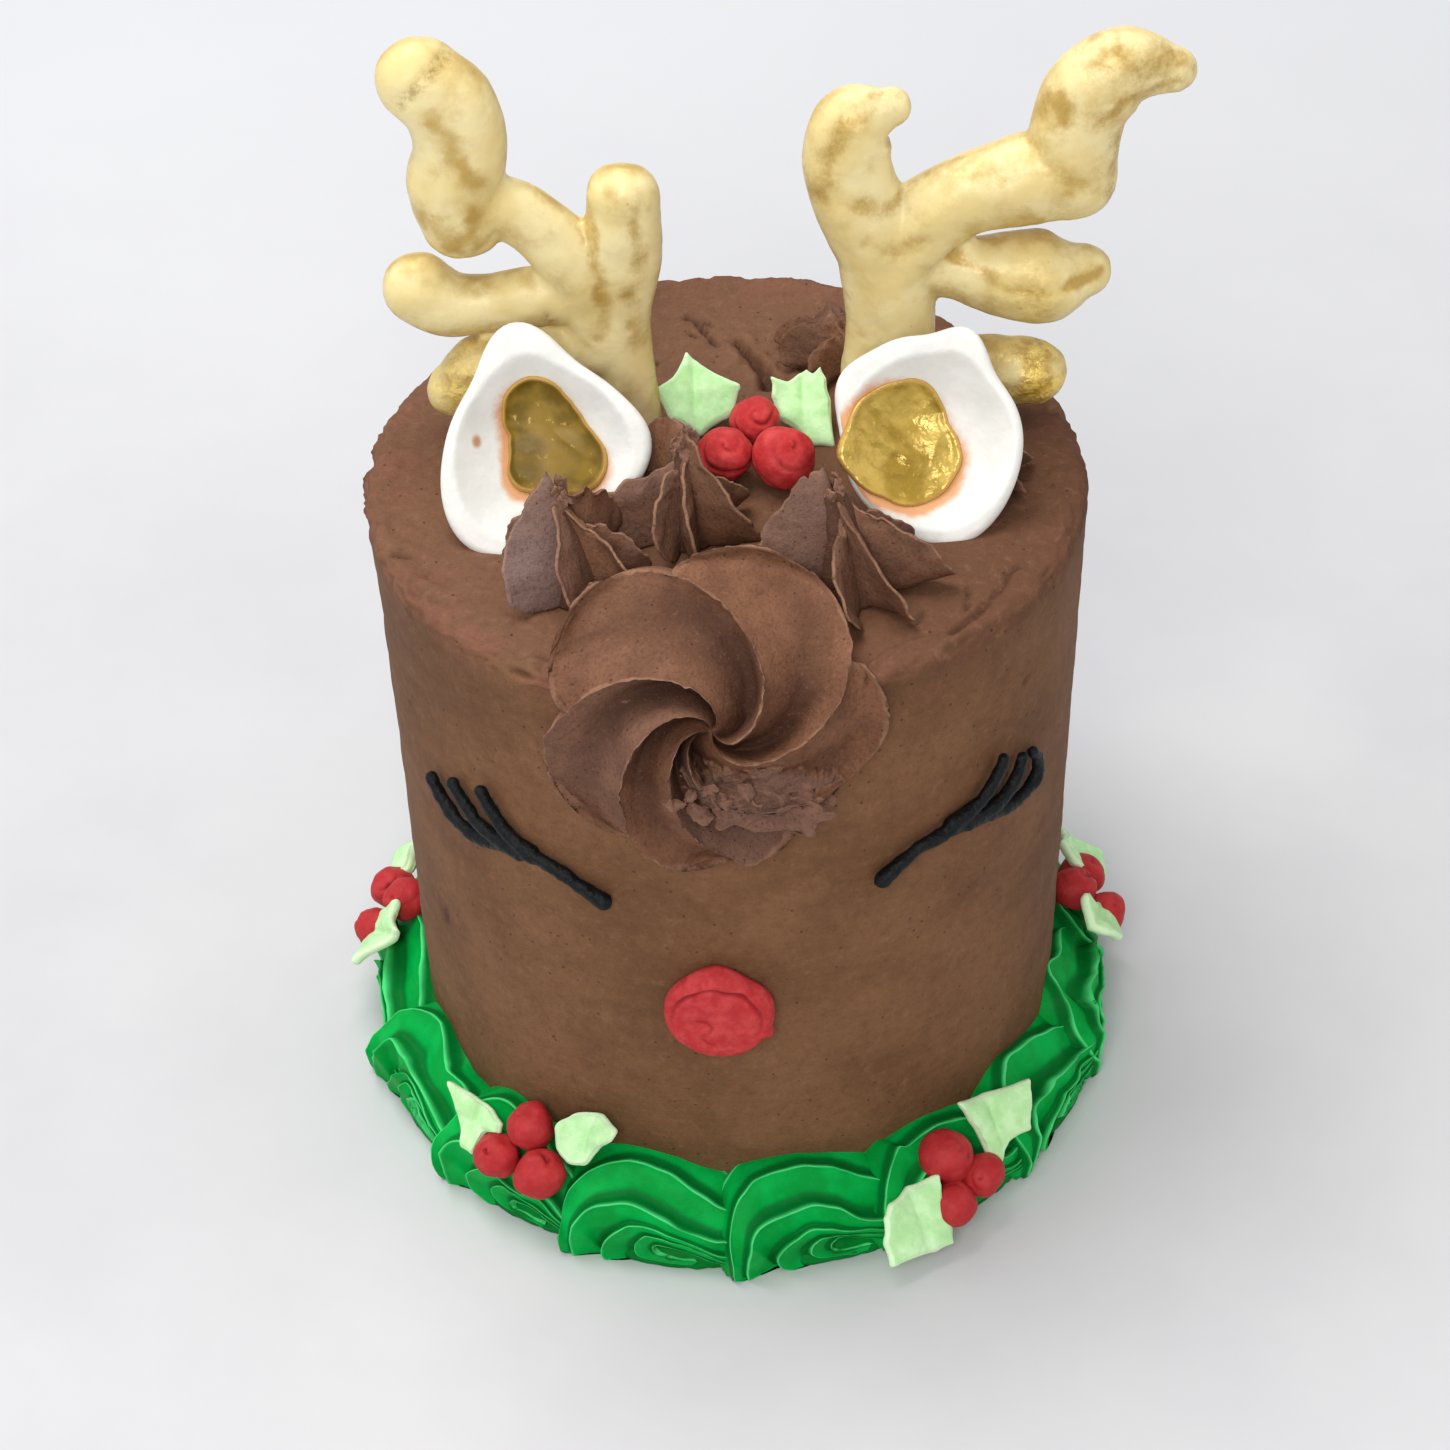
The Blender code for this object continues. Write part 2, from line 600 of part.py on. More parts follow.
def fused(name, shapes, look):
    """One solid from overlapping shapes."""
    first, *others = [solid(name, shape, look) for shape in shapes]
    combine(first, others, "UNION")
    return first


# Nose, berries and leaves

def nose_shape():
    """A flat disc with a raised rim and a low middle, bent round the cake's side."""
    rings = []
    for reach, level in NOSE_SECTION:
        ring = []
        for angle in ring_angles(NOSE_SIDES):
            wave = sum(size * math.sin(count * angle + start) for count, size, start in NOSE_WAVES)
            radius = reach * NOSE_RADIUS * (1 + wave)
            across = NOSE_WIDTH_SHARE * radius * math.cos(angle)
            turn = NOSE_ANGLE + math.degrees(across / CAKE_TOP_RADIUS)
            height = NOSE_HEIGHT + radius * math.sin(angle)
            ring.append(on_side(turn, height, CLEARANCE + level * NOSE_THICKNESS))
        rings.append(ring)
    return loft(rings)


def berry_shape(centre, radius):
    """A small piped swirl, a little flatter than a ball, with a shallow step round its top."""
    rings = []
    for reach, level in BERRY_SECTION:
        ring = []
        for angle in ring_angles(BERRY_SIDES):
            uneven = 1 + BERRY_LEAN * math.sin(angle + BERRY_LEAN_TURN * level)
            ring.append(polar(angle, reach * radius * uneven, level * radius))
        rings.append(ring)
    return placed(loft(rings), Matrix.Translation(centre))


def leaf_outline(corners):
    """The corners in order, with the middle of each hollow edge between them."""
    following = corners[1:] + ((corners[0][0] + 360, corners[0][1]),)
    for (degrees, reach), (next_degrees, next_reach) in zip(corners, following):
        hollow = 1 - LEAF_HOLLOW * min(1.0, (next_degrees - degrees) / LEAF_HOLLOW_GAP)
        yield math.radians(degrees), reach * MM
        yield math.radians((degrees + next_degrees) / 2), (reach + next_reach) / 2 * hollow * MM


def leaf_shape(form, matrix):
    """A thin wavy leaf with a crease, both faces split alike."""
    outline = list(leaf_outline(LEAF_FORMS[form]))
    half = LEAF_THICKNESS / 2
    rings = []
    for share, side in LEAF_LAYERS:
        rings.append([polar(angle, share * reach, leaf_wave(angle, share * reach) + side * half)
                      for angle, reach in outline])
    points = [point for ring in rings for point in ring]
    points.append(Vector((0, 0, -LEAF_DIP - half)))
    points.append(Vector((0, 0, half - LEAF_DIP)))
    count = len(outline)
    triangles = []
    for i in range(count):
        j = (i + 1) % count
        low_in, low_out, high_out, high_in = ((k * count + i, k * count + j) for k in range(4))
        triangles.append((4 * count, low_in[1], low_in[0]))
        triangles.append((low_in[0], low_in[1], low_out[1]))
        triangles.append((low_in[0], low_out[1], low_out[0]))
        triangles.append((low_out[0], low_out[1], high_out[1]))
        triangles.append((low_out[0], high_out[1], high_out[0]))
        triangles.append((high_in[0], high_out[1], high_in[1]))
        triangles.append((high_in[0], high_out[0], high_out[1]))
        triangles.append((4 * count + 1, high_in[0], high_in[1]))
    return placed((points, triangles), matrix)


def leaf_wave(angle, radius):
    """Height of the leaf's sheet: both sides lift from the crease, and the edge ripples a little."""
    ripple = LEAF_RIPPLE * math.sin(LEAF_RIPPLE_COUNT * angle + LEAF_RIPPLE_START) * radius
    return LEAF_LIFT * abs(math.cos(angle)) * radius + ripple - LEAF_DIP


def leaf_matrix(place, outward, lean, turn):
    """Stands a leaf at the place, facing outward and up by the lean, turned in its own sheet."""
    lift = math.radians(lean)
    out = outward * math.cos(lift) + Vector((0, 0, 1)) * math.sin(lift)
    side = Vector((0, 0, 1)).cross(outward).normalized()
    frame = Matrix((side, out.cross(side), out)).transposed().to_4x4()
    return Matrix.Translation(place) @ frame @ Matrix.Rotation(math.radians(turn), 4, "Z")


# Border

def shell_shape(index):
    """A ribbed rope that starts at its eye, arches over it and tails off under the next shell."""
    around = SHELL_FIRST + TAU * index / SHELL_COUNT
    outward = Vector((math.cos(around), math.sin(around), 0))
    side = Vector((0, 0, 1)).cross(outward)
    facing = outward * math.cos(SHELL_LEAN) + Vector((0, 0, 1)) * math.sin(SHELL_LEAN)
    frame = Matrix((side, facing.cross(side), facing)).transposed().to_4x4()
    reach = SHELL_EYE_RADIUS - SHELL_FRONT_MORE * math.sin(around)
    eye = outward * reach + Vector((0, 0, SHELL_EYE_HEIGHT))
    rings = []
    for angle, distance, thickness in curve_through(SHELL_ROPE, SHELL_RINGS):
        outwards = polar(math.radians(angle), 1, 0)
        ring = []
        for degrees, share in SHELL_SECTION:
            turn = math.radians(degrees)
            section = math.cos(turn) * outwards + math.sin(turn) * Vector((0, 0, 1))
            ring.append((distance * outwards + share * thickness * section) * MM)
        rings.append(ring)
    return placed(loft(rings), Matrix.Translation(eye) @ frame)


def floor_block():
    """What lies under the surface that the cake stands on."""
    wide, deep = 90 * MM, 30 * MM
    corners = ((-1, -1), (1, -1), (1, 1), (-1, 1))
    return loft([[Vector((x * wide, y * wide, level)) for x, y in corners] for level in (-deep, 0.0)])


# The pieces

def clear_scene():
    for obj in list(bpy.data.objects):
        bpy.data.objects.remove(obj)


def make_top(cake):
    """Swirl, ears, antlers, holly and stars on and about the top."""
    swirl = swirl_shape()
    clear_of(solid("rosette", swirl, "chocolate_piping"), [cake])
    placed_before = [cake, swirl]
    for name, foot, base, corners in EARS:
        ear = ear_shape(foot, base, corners)
        clear_of(solid(name, ear, "white_icing"), [cake])
        placed_before.append(ear)
    for name, strokes in ANTLERS.items():
        tubes = antler_tubes(strokes)
        clear_of(fused(name, tubes, "gold_antler"), [cake])
        placed_before += tubes
    for name, place, radius in TOP_BERRIES:
        berry = berry_shape(Vector(place) * MM, radius * MM)
        clear_of(solid(name, berry, "red_icing"), placed_before)
        placed_before.append(berry)
    for name, place, form, lean, turn in TOP_LEAVES:
        leaf = leaf_shape(form, leaf_matrix(Vector(place) * MM, Vector((0, -1, 0)), lean, turn))
        clear_of(solid(name, leaf, "pale_green_icing"), placed_before)
        placed_before.append(leaf)
    for name, *sizes in STARS:
        star = star_shape(*sizes)
        clear_of(solid(name, star, "chocolate_piping"), placed_before)
        placed_before.append(star)


def make_face():
    """Nose and closed eyes on the front."""
    solid("nose", nose_shape(), "red_icing")
    for name, strokes in LASHES.items():
        fused(name, lash_tubes(strokes), "black_icing")


def make_base(cake):
    """The green border and the holly that lies on it."""
    holly = []
    for name, degrees, berries, leaves, forms in zip(
            CLUSTER_NAMES, CLUSTER_ANGLES, CLUSTER_BERRIES, CLUSTER_LEAVES, CLUSTER_LEAF_FORMS):
        turn = math.radians(degrees)
        outward = Vector((math.cos(turn), math.sin(turn), 0))
        side = Vector((0, 0, 1)).cross(outward)
        near = []
        for number, (along, reach, height, radius) in enumerate(berries, 1):
            berry = berry_shape((side * along + outward * reach + Vector((0, 0, height))) * MM, radius * MM)
            clear_of(solid(f"{name}_berry_{number}", berry, "red_icing"), [cake] + near)
            near.append(berry)
        for number, ((along, reach, height, lean, spin), form) in enumerate(zip(leaves, forms), 1):
            place = (side * along + outward * reach + Vector((0, 0, height))) * MM
            leaf = leaf_shape(form, leaf_matrix(place, outward, lean, spin))
            clear_of(solid(f"{name}_leaf_{number}", leaf, "pale_green_icing"), [cake] + near)
            near.append(leaf)
        holly += near
    border = fused("border", [shell_shape(index) for index in range(SHELL_COUNT)], "green_icing")
    cut(border, [floor_block()])
    clear_of(border, [cake] + holly)


def main():
    clear_scene()
    cake = cake_shape()
    solid("cake", cake, "chocolate_icing")
    make_top(cake)
    make_face()
    make_base(cake)


main()
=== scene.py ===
"""The look of a small round christmas cake, iced in chocolate and decorated as a sleeping reindeer.

Sizes here are in millimetres; they turn into metres where the meshes and materials are made.
"""

import functools
import itertools
import math

import bpy
import numpy as np
from mathutils import Matrix, Vector


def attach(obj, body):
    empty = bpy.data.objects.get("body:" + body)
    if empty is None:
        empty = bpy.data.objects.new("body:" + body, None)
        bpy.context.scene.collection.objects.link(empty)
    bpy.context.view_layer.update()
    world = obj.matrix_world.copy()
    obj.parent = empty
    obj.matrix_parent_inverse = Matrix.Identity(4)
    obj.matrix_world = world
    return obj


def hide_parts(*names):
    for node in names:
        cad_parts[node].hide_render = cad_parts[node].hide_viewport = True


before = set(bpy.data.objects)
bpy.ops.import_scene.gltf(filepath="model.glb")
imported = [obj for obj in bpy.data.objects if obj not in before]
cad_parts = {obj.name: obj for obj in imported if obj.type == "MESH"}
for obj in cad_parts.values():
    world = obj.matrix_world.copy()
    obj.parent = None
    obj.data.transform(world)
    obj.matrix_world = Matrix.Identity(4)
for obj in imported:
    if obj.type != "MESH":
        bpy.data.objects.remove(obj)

MM = 0.001
TAU = 2 * math.pi
UP = Vector((0, 0, 1))
FRONT = Vector((0, -1, 0))

# Smooth lumps: random values in a repeating block of cells, read well away from its corner. Several layers of
# them are (height, size, what is added to the seed) each
LUMP_CELLS = 32
LUMP_ORIGIN = 500.5
# How far light scatters in icing, and how often melted tubes are smoothed
SCATTER_REACH = 1.2
MELT_SMOOTHING = 3

# Cake
CAKE_HEIGHT = 110.0
CAKE_BASE_RADIUS = 52.5
CAKE_TOP_RADIUS = 54.6
CAKE_LIP = 0.6
CAKE_LIP_SHIFT = -0.6
CAKE_EDGE_RADIUS = 2.6
CAKE_CREST_HEIGHT = 1.2
CAKE_CREST_ANGLE = math.radians(98)
CAKE_CREST_SPREAD = math.radians(55)
CAKE_WAVES = ((3, 0.4, 0.6), (7, 0.25, 0.0))
CAKE_SPOKES = 400
CAKE_SIDE_ROWS = 88
CAKE_EDGE_ROWS = 12
CAKE_TOP_ROWS = 84
CAKE_LIP_START = 90.2
CAKE_FLAT_SHARE = 0.88
# Rows on the base, as shares of its radius, and the height below which the side gets smoother
CAKE_BASE_ROWS = (0.3, 0.6, 0.85, 0.97, 0.994)
CAKE_FOOT = 3
# How far down and in the rough rim reaches
CAKE_RIM_FALL = 5.0
CAKE_RIM_REACH = 7.0
CAKE_SIDE_LUMPS = ((0.28, 24, 1), (0.1, (16, 16, 1.8), 2), (0.07, 5, 3))
CAKE_TOP_LUMPS = ((0.16, 13, 4), (0.09, 3.2, 5), (0.05, 1.4, 6))
CAKE_RIM_LUMPS = ((0.35, 5, 7), (0.2, 1.8, 8))
CAKE_ROUGH_LUMPS = ((1.0, 2.6, 9), (0.6, 1.2, 10))
# Cracks and nicks in the top: points across and deep, half width at the start and end, depth
CAKE_CRACKS = (
    (((-6.2, 43.3), (-4.4, 42.3), (-2.9, 38.7), (-1.0, 34.6)), 0.5, 0.35, 1.3),
    (((-3.5, 42.3), (-1.7, 40.4)), 0.4, 0.3, 0.8),
    (((2.1, 35.9), (3.5, 32.7), (5.0, 29.2), (6.5, 25.2), (6.6, 23.2)), 0.4, 1.1, 2.6),
    (((-5.4, 38.6), (-4.3, 37.1)), 0.4, 0.3, 0.7),
    (((-11.9, 30.2), (-10.7, 30.2)), 0.35, 0.35, 0.6),
)
# Scars in the rim: points, half width, height out
CAKE_SCARS = (
    (((19.5, -47.9, 110), (22.2, -45.6, 110), (25.0, -43.8, 110), (28.2, -42.7, 110)), 0.45, 0.7),
    (((31.3, -41.2, 110), (33.2, -38.8, 110), (35.0, -36.7, 110), (39.8, -29.8, 110), (40.9, -26.5, 110),
      (42.9, -25.1, 110)), 0.5, -1.1),
    (((29.0, -44.0, 109), (34.0, -40.6, 109), (38.5, -35.5, 109), (42.0, -30.0, 109)), 0.9, 0.55),
    (((33.8, -29.3, 110), (34.4, -32.0, 110), (34.0, -35.1, 110)), 0.4, -0.7),
    (((27.8, -35.5, 110), (26.3, -38.7, 110)), 0.45, -0.6),
    (((-33.3, -43.0, 107.6), (-28.9, -46.1, 107.8), (-24.7, -48.5, 108.2)), 0.5, 0.7),
    (((-44.5, -31.3, 104.1), (-44.0, -31.9, 104.0)), 0.55, -1.0),
    (((-50.4, -18.4, 110), (-47.8, -19.5, 110)), 0.6, -0.9),
    (((44.2, -31.3, 94.6), (42.9, -33.1, 93.8)), 0.45, -0.5),
)
# Rough places on the top: place, spread across and deep, height of the roughness
CAKE_ROUGH = (
    (-0.9, 31.5, 4.6, 4.6, 0.7),
    (42.1, 9.2, 3.4, 4.4, 0.5),
    (46.8, -3.0, 3.6, 9.0, 0.7),
    (-0.4, 52.6, 5.0, 1.8, 0.5),
    (9.0, 51.4, 6.0, 2.4, 0.35),
    (-34.0, -34.0, 9.0, 7.0, 0.22),
    (26.0, -42.0, 10.0, 6.0, 0.25),
)
# A hollow under the big swirl: place, width and depth
CAKE_DENT = (0.5, -51.0, 107.0, 11.0, 4.0)
# Marks on the side: degrees from the front, height, spread round and up in mm, height out
CAKE_SIDE_MARKS = (
    (-60.7, 43.9, 1.0, 2.0, -0.35),
    (-30.8, 26.4, 0.5, 0.5, -0.4),
    (-66.0, 84.0, 0.6, 0.5, -0.35),
)

# The big swirl over the front of the top edge
SWIRL_CENTRE = (-3.2, -47.6, 101.6)
SWIRL_TILT = math.radians(27)
SWIRL_RADIUS = 24.4
SWIRL_HEIGHT = 14.5
SWIRL_DEPTH = 17.0
SWIRL_TROUGH = 7.2
SWIRL_STEP = 2.6
SWIRL_MID_RADIUS = 16.0
SWIRL_EYE_RADIUS = 2.6
SWIRL_FALL = 0.9
SWIRL_FALL_POWER = 2.2
SWIRL_EYE_DIP = 2.2
SWIRL_EYE_REACH = 0.12
SWIRL_SADDLE = 10.0
SWIRL_SADDLE_PLACE = 0.25
SWIRL_SADDLE_SPREAD = 0.5
SWIRL_TROUGH_GROWTH = 5.0
SWIRL_TROUGH_FADE = 0.42
# The deepest line of a trough by the eye, as a share of the way across it
SWIRL_VALLEY = 0.1
SWIRL_RIM_TURN = 9.0
SWIRL_RIM_LEAST = 0.86
SWIRL_RIM_SWELL = 0.17
SWIRL_RIM_POWER = 0.62
# Each ridge: degrees at the middle radius, degrees of turn, then for the blade that follows it the reach of
# its lobe and its deepest line at the rim
SWIRL_RIDGES = ((0, 51, 1.0, 0.45), (75, 73, 1.02, 0.32), (151, 50, 0.99, 0.7), (211, 60, 0.95, 0.66),
                (254, 52, 0.86, 0.5), (303, 76, 1.0, 0.6))
SWIRL_BLADE_POINTS = 48
# How strongly the spokes crowd towards a blade's lips
SWIRL_LIP_CROWDING = 0.75
SWIRL_ROWS = 96
SWIRL_BACK = ((0.45, -1.0), (0.8, -0.6), (0.97, -0.22), (1.0, -0.04))
SWIRL_LUMPS = ((0.3, 6, 22), (0.1, 1.6, 23))
SWIRL_LIP_SWAY = ((0.22, 0.8, 37), (0.25, 3.0, 39))
SWIRL_RIM_LUMPS = ((0.02, 1.2, 31), (0.035, 5.0, 32))
# The blade with a step along it, and the blades with a painted pale cool light and how strong that is
SWIRL_STEPPED_BLADE = 1
SWIRL_COOL_LIGHT = ((4, 0.3), (2, 0.2))
# The torn patch below the eye: place in the swirl's own plane, and spread
SWIRL_TORN = (5.4, -9.6, 10.0, 4.6)
SWIRL_TORN_EDGE = 0.44
SWIRL_TORN_LUMPS = ((0.26, 2.6, 35), (0.2, 0.8, 36))
# Torn flakes there: place, height over the dome, half length, half width, turn and tilt in degrees
SWIRL_FLAKES = (
    (8.6, -13.4, -0.4, 7.2, 3.0, -10, -14), (3.0, -12.8, -0.1, 3.4, 2.2, 15, -20),
    (13.6, -13.4, -0.2, 3.4, 2.2, 24, -16), (1.2, -10.6, 1.6, 1.5, 1.2, 35, 10),
    (-2.2, -12.2, 1.2, 2.2, 1.3, -30, -14), (-5.6, -10.8, 2.0, 1.8, 0.8, 0, 5),
    (11.0, -15.8, -0.5, 2.8, 1.4, -8, -22), (5.4, -15.0, -0.6, 2.6, 1.3, -20, -20),
    (-0.6, -8.6, 1.5, 1.3, 0.9, 10, 15), (4.4, -9.0, 1.4, 1.6, 1.0, -50, 12),
    (-3.4, -9.4, 1.8, 1.2, 0.8, 60, 8),
)
SCRAP_THICKNESS = 0.5
SCRAP_SPOKES = 40
SCRAP_ROWS = 10
SCRAP_EYE = 0.06
# How deep a flake lies in the swirl's hollows, as a share of their depth
SCRAP_SINK = 0.45

# Drop stars: thin fins round a leaning core. Each fin: degrees, reach, height, fullness of its top
STAR_CLEARANCE = 0.3
STAR_CORE = 0.4
STAR_CORE_RISE = 0.85
STAR_SPOKES = 40
FIN_LIP = 0.22
FIN_ROWS = 40
FIN_COLUMNS = 20
FIN_FOOT = 0.68
FIN_BEND = 22
FIN_RAGGED = ((0.6, 2.6, 3), (0.35, 0.8, 4))
FIN_TORN = ((1.4, 2.0, 5), (0.8, 0.9, 6))
STAR_THIN_ROOT = 3.0
STAR_SOFT_ROOT = 5.0
TIP_SCRAPS = 6
TIP_REACH = 1.3
# Fins that face this way get the painted cool light
STAR_COOL_LIGHT_TURN = math.radians(206)
# Name, place of the foot, lean of the tip, root thickness, strength of the painted cool light on fins facing
# the left, fins
STARS = (
    ("star_left", (-22.0, -29.2), (-4.0, 5.6), 2.9, 1.0,
     ((206, 12.4, 17.0, 2.3), (266, 11.8, 14.6, 2.4), (328, 12.4, 13.0, 3.4), (14, 11.0, 11.6, 2.6),
      (54, 12.0, 14.2, 4.6), (100, 10.6, 12.0, 2.6), (148, 12.4, 14.0, 3.0))),
    ("star_centre", (-6.6, -15.4), (0.0, 3.9), 2.7, 0.25,
     ((197, 13.0, 11.4, 6.0), (244, 10.2, 12.4, 4.4), (274, 11.4, 13.0, 2.8), (322, 13.0, 15.2, 2.3),
      (26, 11.4, 9.4, 2.8), (76, 11.0, 11.0, 3.6), (126, 12.2, 15.4, 6.0))),
    ("star_right", (17.6, -29.4), (-3.7, 6.4), 3.0, 0.35,
     ((186, 14.8, 16.4, 2.3), (262, 13.4, 12.0, 2.6), (300, 14.8, 13.2, 2.6), (350, 15.0, 12.4, 3.0),
      (34, 12.8, 10.6, 2.6), (84, 12.6, 12.4, 3.0), (140, 14.4, 12.0, 3.2))),
    ("star_back", (17.6, 30.5), (0.0, -1.0), 7.4, 0.0,
     ((200, 10.0, 8.4, 4.2), (250, 10.2, 7.0, 4.4), (300, 10.0, 8.0, 3.8), (352, 10.4, 6.6, 4.6),
      (44, 10.0, 7.2, 4.6), (96, 10.2, 7.6, 4.0), (150, 9.8, 7.0, 4.6))),
    ("star_behind_ear", (37.4, -4.5), (0.0, 0.0), 2.8, 0.0,
     ((195, 9.0, 7.8, 2.0), (255, 9.4, 7.0, 2.2), (315, 9.2, 8.0, 2.0), (15, 9.6, 7.2, 2.6),
      (75, 9.2, 7.6, 2.0), (135, 9.0, 7.0, 2.4))),
)

# Ears
EAR_LEAN = math.radians(35)
EAR_THICKNESS = 2.6
EAR_CUP = 4.6
EAR_SPOKES = 120
EAR_ROWS = 34
EAR_SUNK = 1.5
EAR_SIDES = 22
EAR_LUMPS = ((0.22, 9, 0), (0.08, 3.5, 1))
# The smudge on the left ear: place and spread in the ear's own plane
EAR_SMUDGE = (-9.6, 2.0, 0.8, 1.2)
# Name, foot, radius, and corners of the outline: degrees, reach beyond the radius, spread in degrees
EARS = (
    ("ear_left", (-27.6, -10.0), 14.0, ((101, 5.7, 22), (5, 2.4, 26), (230, 3.8, 38))),
    ("ear_right", (30.4, -9.8), 13.4, ((71, 4.1, 17), (106, 2.5, 22), (142, 3.6, 22), (280, 2.4, 34))),
)
# Gold in each ear: its middle in the ear's own plane, and corners of its edge as (degrees, reach)
GOLD_POOLS = {
    "ear_left": ((0.5, 3.5), (
        (27, 5.8), (77, 7.2), (95, 7.8), (113, 8.4), (136, 8.2), (155, 7.2), (186, 5.7), (216, 6.6),
        (236, 10.6), (270, 9.8), (305, 11.6), (334, 11.4))),
    "ear_right": ((-4.3, 0.4), (
        (16, 7.2), (37, 8.1), (59, 9.3), (75, 9.5), (106, 9.2), (132, 8.7), (161, 9.0), (183, 10.3),
        (199, 10.7), (228, 9.1), (251, 9.1), (279, 10.2), (309, 10.1), (336, 9.4), (353, 9.2))),
}
# The stain reaches this far round the gold
STAIN_REACH = 2.9
# How crumpled and how thin the gold is in the left ear and in the right one, and how its wrinkles slant
POOL_LEFT = (0.5, 0.9)
POOL_RIGHT = (1.5, 0.15)
POOL_SLANT = math.radians(-35)
POOL_THICKNESS = 0.5
POOL_SPOKES = 120
POOL_ROWS = 26

# Antlers, in one plane that stands this deep
ANTLER_DEPTH = 13.0
ANTLER_FLATNESS = 0.85
ANTLER_GRAIN = 0.58
ANTLER_SIDES = 40
ANTLER_POINTS = 40
ANTLER_LUMPS = ((0.42, 8.5, 0), (0.14, 3.2, 1), (0.05, 1.4, 2))
# Their strokes: points across and up, radii
ANTLERS = {
    "antler_left": (
        (((-14.2, 108), (-15.2, 119), (-15.8, 130), (-14.9, 142), (-14.5, 151)), (4.8, 4.7, 4.8, 5.8, 5.7)),
        (((-18.0, 125), (-21.2, 136), (-25.0, 144), (-30.5, 149), (-36, 151)), (4.6, 5.2, 5.1, 5.0, 4.8)),
        (((-38.6, 148), (-39.4, 153), (-37.8, 160), (-39, 166.5), (-42.6, 171)), (6.4, 7.0, 7.1, 7.2, 6.8)),
        (((-19, 133), (-27, 134.4), (-35, 133.3), (-41.5, 133.4), (-45.6, 136.4)), (4.6, 4.5, 4.6, 5.4, 5.6)),
        (((-16, 124), (-24, 125), (-31.5, 123.8), (-37.4, 121.2), (-40.9, 118)), (4.4, 4.6, 5.0, 5.5, 5.0)),
    ),
    "antler_right": (
        (((23.6, 108), (24.4, 117), (25.2, 126), (25.0, 135), (23.0, 143.5)), (7.0, 7.0, 6.8, 7.0, 6.9)),
        (((23.2, 142), (19.6, 150.5), (18.7, 158), (20.6, 163), (24.6, 165)), (6.9, 6.8, 6.4, 5.9, 3.2)),
        (((25.5, 138), (30.0, 145), (36.0, 149.6), (43.5, 152), (51, 153.4)), (6.8, 6.5, 6.4, 6.9, 6.9)),
        (((51.6, 153), (52.2, 160), (54.0, 166.5), (59.0, 170.6), (65.8, 170)), (7.0, 6.8, 6.8, 6.4, 3.6)),
        (((28, 138), (35.0, 137.4), (42.0, 136.0), (49, 135.2), (54, 136.2)), (5.0, 5.0, 6.6, 7.2, 4.6)),
        (((24, 121), (33, 119.5), (41.0, 118.7), (46.9, 118.1)), (4.6, 4.8, 5.7, 5.4)),
    ),
}

# Brush strokes on the antlers' front: points across and up, half width, strength of the gold and of the dark
ANTLER_STROKES = {
    "antler_left": (
        (((-45.6, 170.2), (-41.7, 174.4), (-38.5, 176.4)), 0.9, 0.4, 0.9),
        (((-41.2, 167.9), (-38.7, 162.6), (-35.7, 155.8), (-35.2, 149.9)), 2.0, 0.9, 0.0),
        (((-44.6, 150.7), (-39.5, 146.4), (-33.0, 147.6)), 2.2, 0.8, 0.1),
        (((-48.5, 143.9), (-43.6, 139.8), (-36.4, 136.9), (-28.9, 138.1)), 1.6, 0.5, 0.0),
        (((-16.0, 153.5), (-13.2, 150.9), (-11.9, 144.9), (-14.3, 136.2), (-12.9, 127.3)), 1.3, 0.7, 0.2),
        (((-20.3, 151.1), (-19.6, 145.1), (-18.1, 136.3), (-18.8, 129.3)), 1.1, 0.7, 0.15),
        (((-26.9, 132.7), (-25.8, 131.3)), 0.7, 0.0, 1.0),
    ),
    "antler_right": (
        (((26.7, 168.0), (23.1, 167.3), (18.8, 165.8), (15.3, 158.5), (14.7, 152.6)), 1.4, 0.8, 0.45),
        (((20.6, 152.4), (23.2, 149.8), (26.9, 151.4)), 1.5, 0.7, 0.3),
        (((21.5, 145.6), (25.5, 143.7), (29.9, 145.7)), 1.3, 0.6, 0.2),
        (((31.9, 157.2), (38.5, 156.1), (45.0, 158.4), (48.7, 156.3), (55.4, 153.9)), 1.7, 0.7, 0.2),
        (((45.5, 165.0), (47.8, 169.0), (50.0, 164.6)), 1.5, 0.8, 0.3),
        (((52.3, 174.2), (55.8, 174.4), (60.2, 172.4), (63.8, 172.9), (67.0, 173.1)), 1.9, 0.9, 0.5),
        (((55.0, 164.5), (58.5, 167.5), (63.0, 168.5), (67.5, 170.0)), 1.2, 0.9, 0.7),
        (((57.0, 151.0), (57.8, 156.5), (58.0, 161.5)), 1.0, 0.6, 0.6),
        (((50.0, 152.0), (53.0, 162.0), (57.0, 169.0)), 5.0, 0.5, 0.0),
        (((34.4, 141.4), (41.2, 137.2), (48.7, 136.1), (56.1, 137.6)), 0.9, 1.0, 0.3),
    ),
}

# Crumpled leaf gold on the low tines: places across and up, reach, strength
ANTLER_FOIL = {
    "antler_left": (((-40.5, 121.0), 7.0, 0.75), ((-33.0, 122.0), 4.0, 0.3)),
    "antler_right": (((47.5, 118.5), 8.5, 1.0), ((39.0, 119.5), 5.0, 0.7), ((46.0, 134.0), 6.0, 0.4)),
}

# Nose
NOSE_ANGLE = -3.6
NOSE_HEIGHT = 49.6
NOSE_RADIUS = 9.0
NOSE_THICKNESS = 4.2
NOSE_WIDTH_SHARE = 0.92
NOSE_CLEARANCE = 0.3
NOSE_SPOKES = 140
NOSE_ROWS = 56
# Its outline: degrees, share of the radius more or less, spread in degrees
NOSE_CORNERS = ((54, -0.1, 24), (90, 0.03, 12), (133, -0.05, 22), (-27, 0.11, 4), (200, 0.02, 20))
